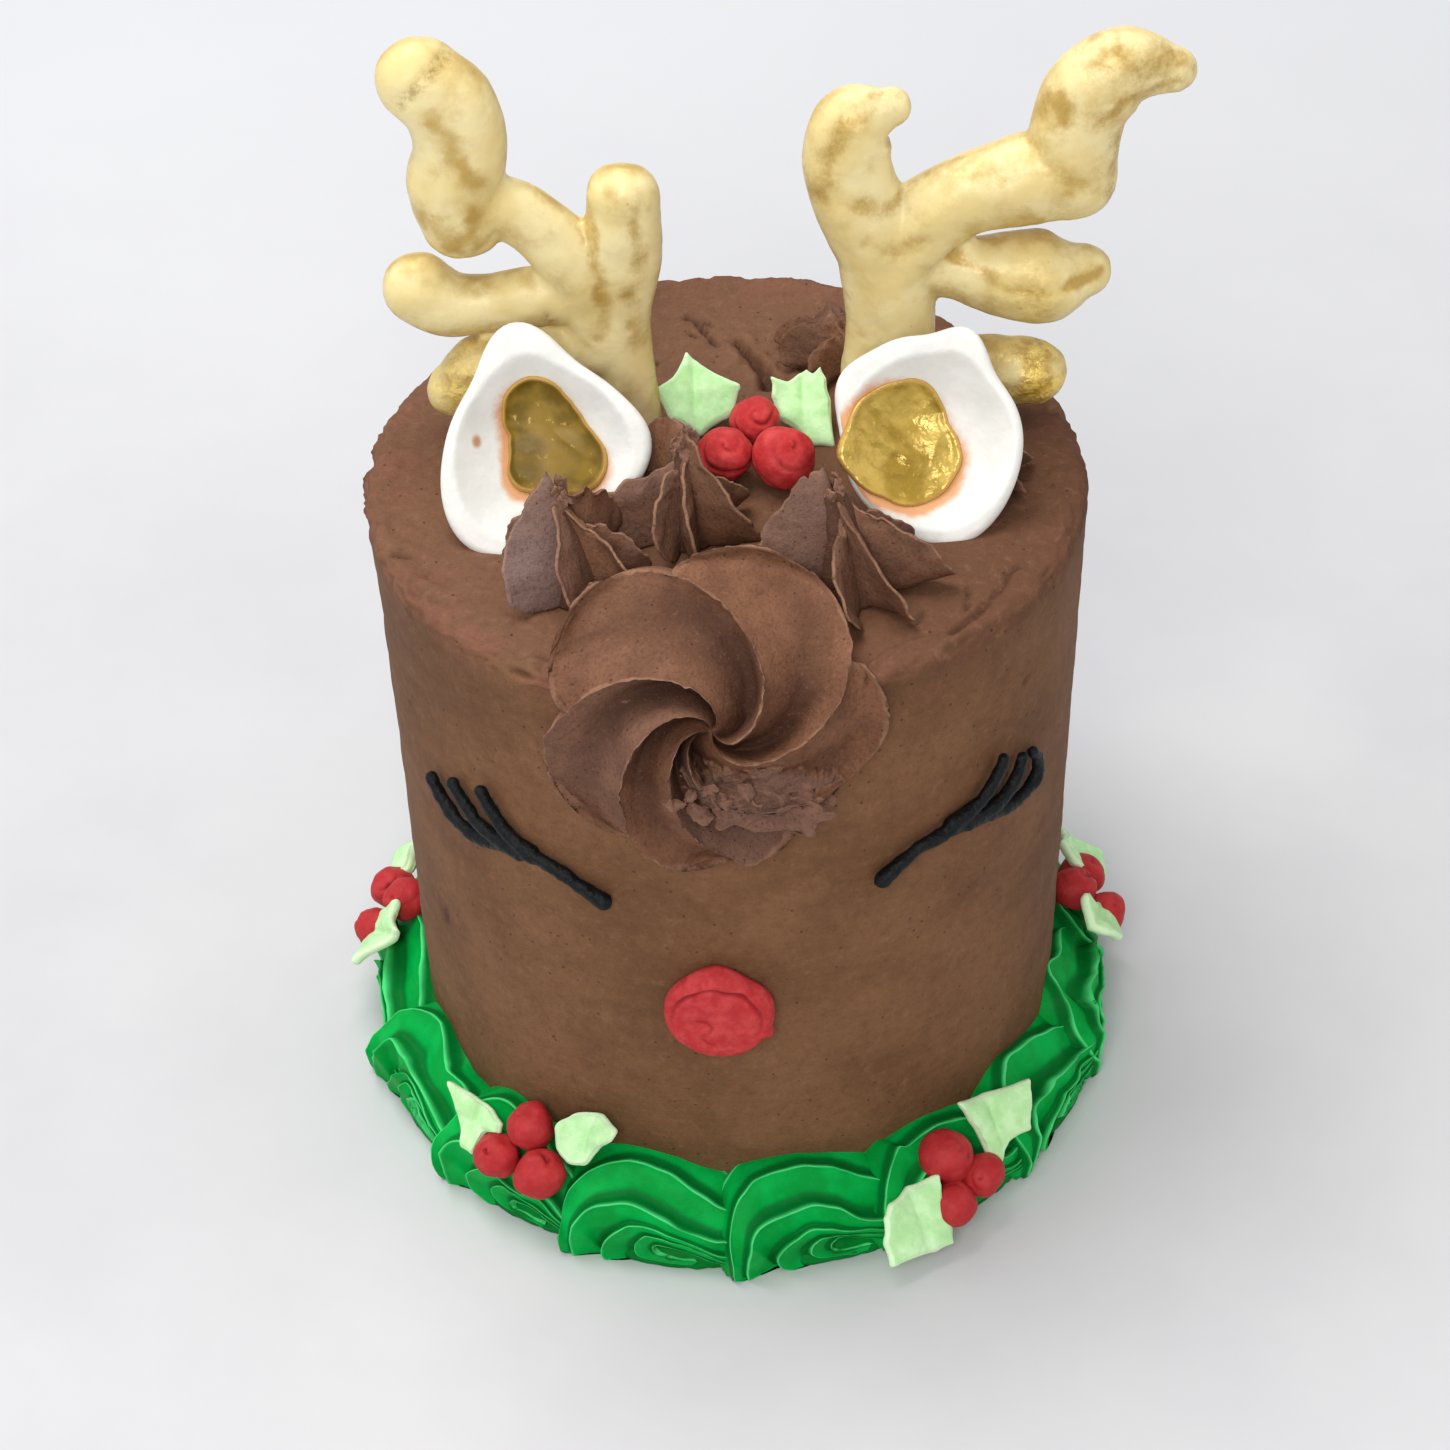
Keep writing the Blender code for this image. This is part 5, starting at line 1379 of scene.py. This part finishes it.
def pool_body(foot, base, corners, pool, seed):
    """A thin wrinkled skin of gold that lies in the ear's dish."""
    middle, edge = pool
    angle = around(POOL_SPOKES)
    reach = pool_reach(np.degrees(angle), edge) * (1 + 0.05 * lumps(polar(angle, 3.0, 0.0), 0.9, seed))
    shares = np.linspace(0.05, 0.97, POOL_ROWS)
    share = upright(shares, [1.0], shares[::-1])
    side = upright(-np.ones(POOL_ROWS), [0.0], np.ones(POOL_ROWS))
    grid = polar(angle, share * reach, 0.0)
    grid[..., :2] += middle
    turn = np.arctan2(grid[..., 1], grid[..., 0])
    dish = ear_level(turn, np.hypot(grid[..., 0], grid[..., 1]), base, corners) + EAR_THICKNESS / 2
    crumpled, thin = POOL_LEFT if foot[0] < 0 else POOL_RIGHT
    slanted = grid @ np.array(Matrix.Rotation(POOL_SLANT, 3, "Z"))
    ridges = ridged(slanted, 0.5, 1.8, (7.0, 3.6, 5), seed + 1)
    wrinkle = crumpled * (0.5 * ridges + 0.12 * lumps(grid, (2.4, 1.5, 5), seed + 2)) * hill(share, 0.3, 0.6)
    raised = hill(share, 0.93, 0.06) * (0.3 + 0.2 * lumps(grid, 5, seed + 3))
    over = POOL_THICKNESS / 2 + 0.15 + wrinkle + raised + 0.5 * (1 - share ** 2)
    grid[..., 2] = dish + np.where(side > 0, over, np.where(side < 0, -0.4, 0.05))
    brim = hill(share, 1.0, 0.1)
    return closed(moved(grid, ear_frame(foot, base, corners)), {"thin": thin, "brim": brim})


# Tubes: antlers and eyelashes

def tube(points, radii, sides, count, flatness, normals):
    """A round-ended tube along a smooth curve. Its section is flattened along the given normals."""
    path = curve_through(np.column_stack([points, radii]), count)
    centres, width = path[:, :3], path[:, 3]
    ahead = np.gradient(centres, axis=0)
    ahead /= np.linalg.norm(ahead, axis=1)[:, None]
    normal = normals(centres)
    side = np.cross(normal, ahead)
    side /= np.linalg.norm(side, axis=1)[:, None]
    angle = around(sides)[:, None]
    turns = np.radians(np.linspace(80, 0, 6, endpoint=False))
    rows = [(0, -width[0] * math.sin(turn), math.cos(turn)) for turn in turns]
    rows += [(i, 0.0, 1.0) for i in range(count)]
    rows += [(count - 1, width[-1] * math.sin(turn), math.cos(turn)) for turn in turns[::-1]]
    grid = []
    for i, step, shrink in rows:
        section = np.cos(angle) * side[i] + flatness * np.sin(angle) * normal[i]
        grid.append(centres[i] + step * ahead[i] + shrink * width[i] * section)
    return closed(np.array(grid))


def backwards(centres):
    return np.tile((0.0, 1.0, 0.0), (len(centres), 1))


def away_from_axis(centres):
    flat = centres * (1, 1, 0)
    return flat / np.linalg.norm(flat, axis=1)[:, None]


def antler_mesh(strokes, brushes, foils, seed):
    """Round strokes melted together, then brushed: gold with painted shade on the sides and undersides, its
    dark patches and the crumpled leaf as marks.
    """
    tubes = []
    for points, radii in strokes:
        route = np.array([(x, ANTLER_DEPTH, z) for x, z in points])
        tubes.append(tube(route, radii, ANTLER_SIDES, ANTLER_POINTS, ANTLER_FLATNESS, backwards))
    mesh = melted(tubes, ANTLER_GRAIN)
    points = points_of(mesh)
    height = bumpy(points, ANTLER_LUMPS, seed)
    facing_back, facing_up = normals_of(mesh)[:, 1:].T
    front = unit(0.5 - 1.5 * facing_back)
    # Painted shade as gold along the sides, as seen from the front, and on the undersides
    gold = unit(0.75 - 1.1 * np.abs(facing_back)) * patchy(points, 0.7, 0.6, 6, seed + 3)
    gold = gold + 0.6 * unit(-facing_up)
    dark = np.zeros(len(points))
    plan = points[:, [0, 2]] + 0.6 * lumps(points, 2.0, seed + 4)[:, None]
    broken = front * patchy(points, 0.8, 0.6, 3, seed + 5)
    for route, width, golden, brown in brushes:
        near = hill(gap_to(plan, route)[0], 0, 1.2 * width) * broken
        gold = np.maximum(gold, golden * near)
        dark = np.maximum(dark, brown * near)
        height = height - 0.3 * near * min(1.0, 1 / width)
    foil = np.zeros(len(points))
    for place, reach, strength in foils:
        near = hill(np.linalg.norm(plan - place, axis=1), 0, reach)
        foil = np.maximum(foil, strength * near * patchy(points, 0.9, 0.8, 3.5, seed + 6))
    swelled(mesh, height + 0.35 * foil * ridged(points, 0.4, 1.6, 3.0, seed + 7))
    for name, values in (("foil", foil), ("gold", gold), ("dark", dark)):
        mark(mesh, name, unit(values))
    return mesh


def on_side(degrees, height, out):
    """A point on the cake's side, by degrees round from the front, height and distance off it."""
    turn = np.radians(degrees)
    reach = cake_radius(np.asarray(height)) + out
    return np.stack([reach * np.sin(turn), -reach * np.cos(turn), height * np.ones_like(turn)], axis=-1)


def lash_mesh(strokes, seed):
    """Strokes of black icing melted together on the cake's side."""
    tubes = []
    for stroke in strokes:
        degrees, height = np.array(stroke).T
        route = on_side(degrees, height, LASH_RADIUS + LASH_CLEARANCE)
        radii = LASH_RADIUS * np.array([LASH_END] + [LASH_STEM] * (len(stroke) - 1))
        tubes.append(tube(route, radii, LASH_SIDES, LASH_POINTS, 1.0, away_from_axis))
    mesh = melted(tubes, LASH_GRAIN)
    swelled(mesh, bumpy(points_of(mesh), LASH_LUMPS, seed))
    return mesh


# Nose and berries

def nose_body():
    """A thick disc with one fold round its middle and a small curl in it, bent round the cake's side."""
    section = curve_through(NOSE_SECTION, NOSE_ROWS)
    reach, level = section[:, :1], section[:, 1:]
    angle = around(NOSE_SPOKES)
    outline = 1.0
    for degrees, more, spread in NOSE_CORNERS:
        outline = outline + more * hill(off_by(np.degrees(angle), degrees), 0, spread)
    plan = polar(angle, reach * NOSE_RADIUS * outline, 0.0)
    front = unit(upright(np.linspace(0, 1, NOSE_ROWS)) * 3 - 0.5)
    middle, half = NOSE_DISC
    place = (plan[..., :2] - middle) / half + 0.04 * lumps(plan, 2.4, 51)[..., None]
    away = np.linalg.norm(place, axis=-1)
    above = np.clip(0.55 + 0.5 * place[..., 1] + 0.4 * lumps(plan, 3.5, 54), 0.25, 1)
    fold = hill(away, 1, 0.07) * above
    for path in NOSE_CURLS:
        fold = np.maximum(fold, 0.6 * hill(gap_to(plan[..., :2], path)[0], 0, 0.4))
    fold = fold * front
    more = front * (0.3 * hill(away, 1.2, 0.14) * above + 0.3 * lumps(plan, 3.2, 52))
    more = more - 0.6 * fold + 0.15 * lumps(plan, 1.1, 53)
    degrees = NOSE_ANGLE + np.degrees(NOSE_WIDTH_SHARE * plan[..., 0] / CAKE_TOP_RADIUS)
    out = NOSE_CLEARANCE + level * NOSE_THICKNESS + more * np.minimum(1, 2 * level)
    # Painted shade along the fold and the curl
    return closed(on_side(degrees, NOSE_HEIGHT + plan[..., 1], out), {"deep": fold})


def berry_body(centre, radius, outward, wound, seed):
    """A small piped ball with a spiral fold, or, the less it is wound, only a short crease by its dimple."""
    rise = upright(np.linspace(-0.46, 0.485, BERRY_ROWS) * math.pi)
    share = rise / math.pi + 0.5
    angle = around(BERRY_SPOKES)
    chance = np.random.default_rng(seed)
    turns = BERRY_TURNS * share + angle / TAU + chance.uniform(0, 1)
    ball = polar(angle, np.cos(rise), np.sin(rise))
    turns = (turns + 0.2 * lumps(ball, 0.7, seed + 2)) % 1
    fold = np.maximum(hill(turns, 0, 0.09), hill(turns, 1, 0.14)) * unit(2.4 * share)
    fold = fold * np.clip(0.6 + 0.9 * lumps(ball, 0.8, seed + 3), 0.05, 1)
    dimple = Vector((chance.uniform(-0.6, 0.6), chance.uniform(-0.6, 0.6), 0.75)).normalized()
    away = np.linalg.norm(ball - np.array(dimple), axis=-1)
    fold = fold * np.maximum(wound, hill(away, 0, 0.55))
    pit = (1 - wound) * hill(away, 0, 0.16)
    reach = radius * (1.03 - BERRY_FOLD * fold - 0.14 * pit + bumpy(ball, BERRY_LUMPS, seed))
    axis = Vector(outward) * BERRY_LEAN + Vector((chance.uniform(-0.3, 0.3), chance.uniform(-0.3, 0.3), 1))
    turned = UP.rotation_difference(axis).to_matrix().to_4x4()
    grid = moved(ball * reach[..., None], turned) * (1, 1, BERRY_FLATNESS)
    # Marks: painted shade in the fold and the dimple, and on the less wound berries round the base
    return closed(grid + np.array(centre), {"deep": unit(fold + pit), "low": 1 - wound})


# Leaves

def leaf_edge(corners, soft, seed):
    """Angles and distances round a leaf: its corners, with hollow edges drawn finely between them."""
    points = []
    for near, far in zip(corners, corners[1:] + ((corners[0][0] + 360, corners[0][1]),)):
        start, end = (polar(math.radians(degrees), reach, 0.0)[:2] for degrees, reach in (near, far))
        gap = min(1.0, (far[0] - near[0]) / LEAF_HOLLOW_GAP)
        for t in np.linspace(0, 1, LEAF_EDGE_POINTS, endpoint=False):
            points.append((start + t * (end - start)) * (1 - 2 * LEAF_HOLLOW * gap * t * (1 - t)))
    points = np.array(points)
    for _ in range(soft):
        points = 0.5 * points + 0.25 * (np.roll(points, 1, axis=0) + np.roll(points, -1, axis=0))
    angle = np.unwrap(np.arctan2(points[:, 1], points[:, 0]))
    ragged = lumps(np.column_stack([points, np.zeros(len(points))]), 0.9, seed)
    return angle, np.linalg.norm(points, axis=1) * (1 + 0.02 * ragged)


def leaf_body(form, matrix, seed):
    """A thin wavy leaf with a crease and a soft rounded edge."""
    angle, reach = leaf_edge(LEAF_FORMS[form], LEAF_SOFT.get(form, 1), seed)
    half = LEAF_THICKNESS / 2
    shares = np.linspace(0.04, 0.9, LEAF_ROWS)
    rows = [(share, -half, 0.0) for share in shares]
    for turn in np.radians(np.linspace(-60, 60, 7)):
        rows.append((1.0, half * math.sin(turn), half * (math.cos(turn) - 1)))
    rows += [(share, half, 0.0) for share in shares[::-1]]
    share, level, back = columns_of(rows)
    radius = share * reach + back
    ripple = LEAF_RIPPLE * np.sin(LEAF_RIPPLE_COUNT * angle + LEAF_RIPPLE_START) * radius
    sheet = LEAF_LIFT * np.sqrt(np.cos(angle) ** 2 + 0.01) * radius + ripple - LEAF_DIP
    grid = polar(angle, radius, sheet + level)
    flat = grid * (1, 1, 0)
    grid[..., 2] += bumpy(flat, LEAF_LUMPS, seed)
    grid[..., 2] -= LEAF_CREASE * hill(flat[..., 0], 0, 0.8) * unit(1.3 - share)
    grid[..., 2] += LEAF_PUFF * (level > 0) * (1 - share ** 2)
    return closed(moved(grid, matrix), {"edge": hill(share, 1.0, 0.12)})


# Border

def wander(points, size, seed):
    """Smooth random steps right and up, one for each point."""
    return np.stack([lumps(points, size, seed), lumps(points, size, seed + 20)], axis=1)


def shell_lips(index, beside):
    """A shell's lips in its own plane, from the outermost to the eye, each swaying in its own way."""
    along = np.linspace(0, 1, SHELL_ROWS)
    free = np.minimum(1, 4 * along)[:, None]
    sway = SHELL_SWAY[0] + SHELL_SWAY[1] * beside
    least, low, slope = SHELL_LOW
    lips = []
    for number, (path, height) in enumerate(zip(SHELL_LIPS, SHELL_LIP_HEIGHTS)):
        flat = curve_through(path, SHELL_ROWS)
        own = np.column_stack([flat, np.full(SHELL_ROWS, 7.0 * number)])
        flat = flat + sway * free * wander(own, 7, 700 + index)
        flat = flat + 0.26 * wander(own, 2.4, 740 + index)
        shared = np.column_stack([flat, np.zeros(SHELL_ROWS)])
        flat = flat + SHELL_RUFFLE * beside * free * wander(shared, 6, 860 + index)
        level = height * np.interp(along, *np.array(SHELL_TAIL).T)
        lips.append(np.column_stack([flat, np.minimum(level, least + slope * (flat[:, 1] - low))]))
    return lips


def shell_grid(index, beside):
    """Rows of points along a shell, each round its skin from the outer lip to the eye, and its marks."""
    lips = shell_lips(index, beside)
    columns = []
    for near, far in zip(lips, lips[1:]):
        gap = np.linalg.norm((far - near)[:, :2], axis=1)
        for along, depth in SHELL_RIB_FORM:
            points = near + along * (far - near)
            points[:, 2] -= SHELL_RIB_DEPTH * depth * gap
            # Painted highlight on each lip, and painted shade in each rib just before the next lip
            lip = max(0.0, 1 - along / SHELL_LIP_SHARE, 1 - (1 - along) / SHELL_LIP_SHARE_BEFORE)
            columns.append((points, lip, hill(along, 0.86, 0.22)))
    columns.append((lips[-1], 1.0, 0.4))
    # The back, under the shell, in half painted shade
    for share in np.linspace(0, 1, SHELL_BACK_POINTS):
        points = lips[-1] + share * (lips[0] - lips[-1])
        points[:, 2] = np.minimum(points[:, 2] - 1, SHELL_BACK * math.sin(math.pi * (0.15 + 0.7 * share)))
        columns.append((points, 0.0, 0.5))
    points, lip, fold = zip(*columns)
    return np.stack(points, axis=1), np.array(lip), np.array(fold)


def shell_body(index):
    """A shell of nested ribs over its eye, whose tail runs under the next shell."""
    chance = np.random.default_rng(700 + index)
    place = SHELL_FIRST + TAU * index / SHELL_COUNT + math.radians(chance.uniform(-0.8, 0.8))
    outward = direction(place)
    eye = outward * (SHELL_EYE_RADIUS - SHELL_FRONT_MORE * math.sin(place)) + UP * SHELL_EYE_HEIGHT
    matrix = facing(eye, outward, SHELL_LEAN)
    grid, lip, fold = shell_grid(index, abs(math.cos(place)))
    grid = grid * (1, chance.uniform(0.94, 1.0), 1)
    grid[..., 2] += 0.2 * lumps(grid, 4, 780 + index) + lip * 0.3 * lumps(grid, 1.6, 800 + index)
    world = on_floor(moved(grid, matrix), eye)
    # Painted highlight along the lips, and painted shade in the folds
    edge = lip * (0.8 + 0.4 * lumps(world, 4, 820 + index))
    rope = closed(world, {"edge": unit(edge), "deep": fold})
    rise = upright(np.radians(np.linspace(-80, 80, 14)))
    ball = polar(around(32), np.cos(rise), np.sin(rise)) * SHELL_HEART_SIZE + SHELL_HEART
    ball = ball + 0.3 * lumps(ball, 2.4, 840 + index)[..., None]
    # The body under the eye in painted shade
    heart = closed(on_floor(moved(ball, matrix), eye), {"edge": 0.0, "deep": 0.8})
    return joined([rope, heart])


def on_floor(points, eye):
    """Lifts what lies below the flat underside up to it, and tucks it in under the shell."""
    below = np.maximum(0, SHELL_FLOOR - points[..., 2])
    away = points[..., :2] - np.array(eye)[:2]
    far = np.linalg.norm(away, axis=-1)
    points[..., :2] -= away * (np.minimum(0.9 * far, SHELL_TUCK * below) / far)[..., None]
    points[..., 2] += below
    return points


# The pieces

def make_cake():
    piece("cake", mesh_of(cake_body()), chocolate_icing())


def make_piping():
    look = chocolate_piping()
    piece("rosette", mesh_of(swirl_body()), look)
    for number, (name, *sizes) in enumerate(STARS):
        piece(name, mesh_of(star_body(*sizes, seed=1000 + 100 * number)), look)


def make_ears():
    look, gold = white_icing(), gold_paint()
    for number, (name, *sizes) in enumerate(EARS):
        pool = GOLD_POOLS[name]
        piece(name, mesh_of(ear_body(*sizes, pool, 200 + 10 * number)), look)
        skin = pool_body(*sizes, pool, 220 + 10 * number)
        piece(f"{name}_gold", mesh_of(skin), gold, stands_for_solid=False)


def make_antlers():
    look = gold_antler()
    for number, (name, strokes) in enumerate(ANTLERS.items()):
        mesh = antler_mesh(strokes, ANTLER_STROKES[name], ANTLER_FOIL[name], 240 + 10 * number)
        piece(name, mesh, look)


def make_face():
    piece("nose", mesh_of(nose_body()), red_icing())
    look = black_icing()
    for number, (name, strokes) in enumerate(LASHES.items()):
        piece(name, lash_mesh(strokes, 300 + 10 * number), look)


def make_holly():
    red, green = red_icing(), pale_green_icing()
    for number, (name, place, radius) in enumerate(TOP_BERRIES):
        piece(name, mesh_of(berry_body(place, radius, (0.2, -1, 0), 1.0, 400 + 5 * number)), red)
    for number, (name, place, form, lean) in enumerate(TOP_LEAVES):
        body = leaf_body(form, facing(place, FRONT, math.radians(lean)), 440 + 5 * number)
        piece(name, mesh_of(body), green)
    for cluster, (name, degrees, berries, leaves) in enumerate(CLUSTERS):
        outward = direction(math.radians(degrees))
        side = UP.cross(outward)
        for number, (along, reach, height, radius) in enumerate(berries, 1):
            centre = side * along + outward * reach + UP * height
            body = berry_body(centre, radius, outward, CLUSTER_WOUND, 500 + 20 * cluster + 3 * number)
            piece(f"{name}_berry_{number}", mesh_of(body), red)
        for number, (form, along, reach, height, lean, turn) in enumerate(leaves, 1):
            centre = side * along + outward * reach + UP * height
            spin = Matrix.Rotation(math.radians(turn), 4, "Z")
            matrix = facing(centre, outward, math.radians(lean)) @ spin
            body = leaf_body(form, matrix, 510 + 20 * cluster + 4 * number)
            piece(f"{name}_leaf_{number}", mesh_of(body), green)


def make_border():
    body = joined([shell_body(index) for index in range(SHELL_COUNT)])
    piece("border", mesh_of(body), green_icing())


# Stage, light and camera

def make_stage():
    """A pale floor with faint cloudy grey in it, paler behind the cake as painted light where the lamps'
    light falls off.
    """
    mesh = bpy.data.meshes.new("floor")
    corners = [(-FLOOR_HALF, -FLOOR_HALF, 0), (FLOOR_HALF, -FLOOR_HALF, 0), (FLOOR_HALF, FLOOR_HALF, 0),
               (-FLOOR_HALF, FLOOR_HALF, 0)]
    mesh.from_pydata(corners, [], [(0, 1, 2, 3)])
    look = Look("pale stone", 0.5, 0.3)
    look.skin = look.blend(look.noise(90, 5, 0.6), 0.3, 0.7, (198, 198, 200), (206, 206, 207))
    split = look.add("ShaderNodeSeparateXYZ")
    look.join(split.inputs[0], look.place)
    # Painted light: paler behind the cake, where less lamp light reaches
    look.coat(look.between(split.outputs["Y"], 0.0, 0.5), (232, 232, 234))
    look.relief(look.noise(20, 3, 0.5), 0.02)
    mesh.materials.append(look.done())
    linked("floor", mesh)


def make_light():
    """A pale room and soft square lights, all aimed at one height over the cake's base."""
    world = bpy.data.worlds.new("room")
    world.use_nodes = True
    background = world.node_tree.nodes["Background"].inputs
    background["Color"].default_value = ROOM_COLOUR
    background["Strength"].default_value = ROOM_STRENGTH
    bpy.context.scene.world = world
    for name, place, power, size, colour in LIGHTS:
        light = bpy.data.lights.new(name, "AREA")
        light.energy = power
        light.size = size
        light.color = colour
        obj = linked(name, light)
        obj.location = place
        aim = UP * LIGHT_AIM - Vector(place)
        obj.rotation_euler = aim.to_track_quat("-Z", "Y").to_euler()


def make_camera():
    ahead = Vector((0, math.cos(CAMERA_PITCH), -math.sin(CAMERA_PITCH)))
    right = Vector((1, 0, 0))
    up = right.cross(ahead)
    cosine, sine = math.cos(CAMERA_ROLL), math.sin(CAMERA_ROLL)
    data = bpy.data.cameras.new("camera")
    data.sensor_width = CAMERA_SENSOR
    data.lens = CAMERA_FOCUS / CAMERA_PIXELS * CAMERA_SENSOR
    data.shift_x = CAMERA_SHIFT / CAMERA_PIXELS
    data.clip_start = 0.01
    camera = linked("camera", data)
    place = UP * CAMERA_AIM - ahead * CAMERA_DISTANCE
    camera.matrix_world = placed(place, cosine * right + sine * up, cosine * up - sine * right, -ahead)
    bpy.context.scene.camera = camera


def main():
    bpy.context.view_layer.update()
    make_cake()
    make_piping()
    make_ears()
    make_antlers()
    make_face()
    make_holly()
    make_border()
    make_stage()
    make_light()
    make_camera()
    bpy.context.scene.view_settings.view_transform = "Standard"


main()
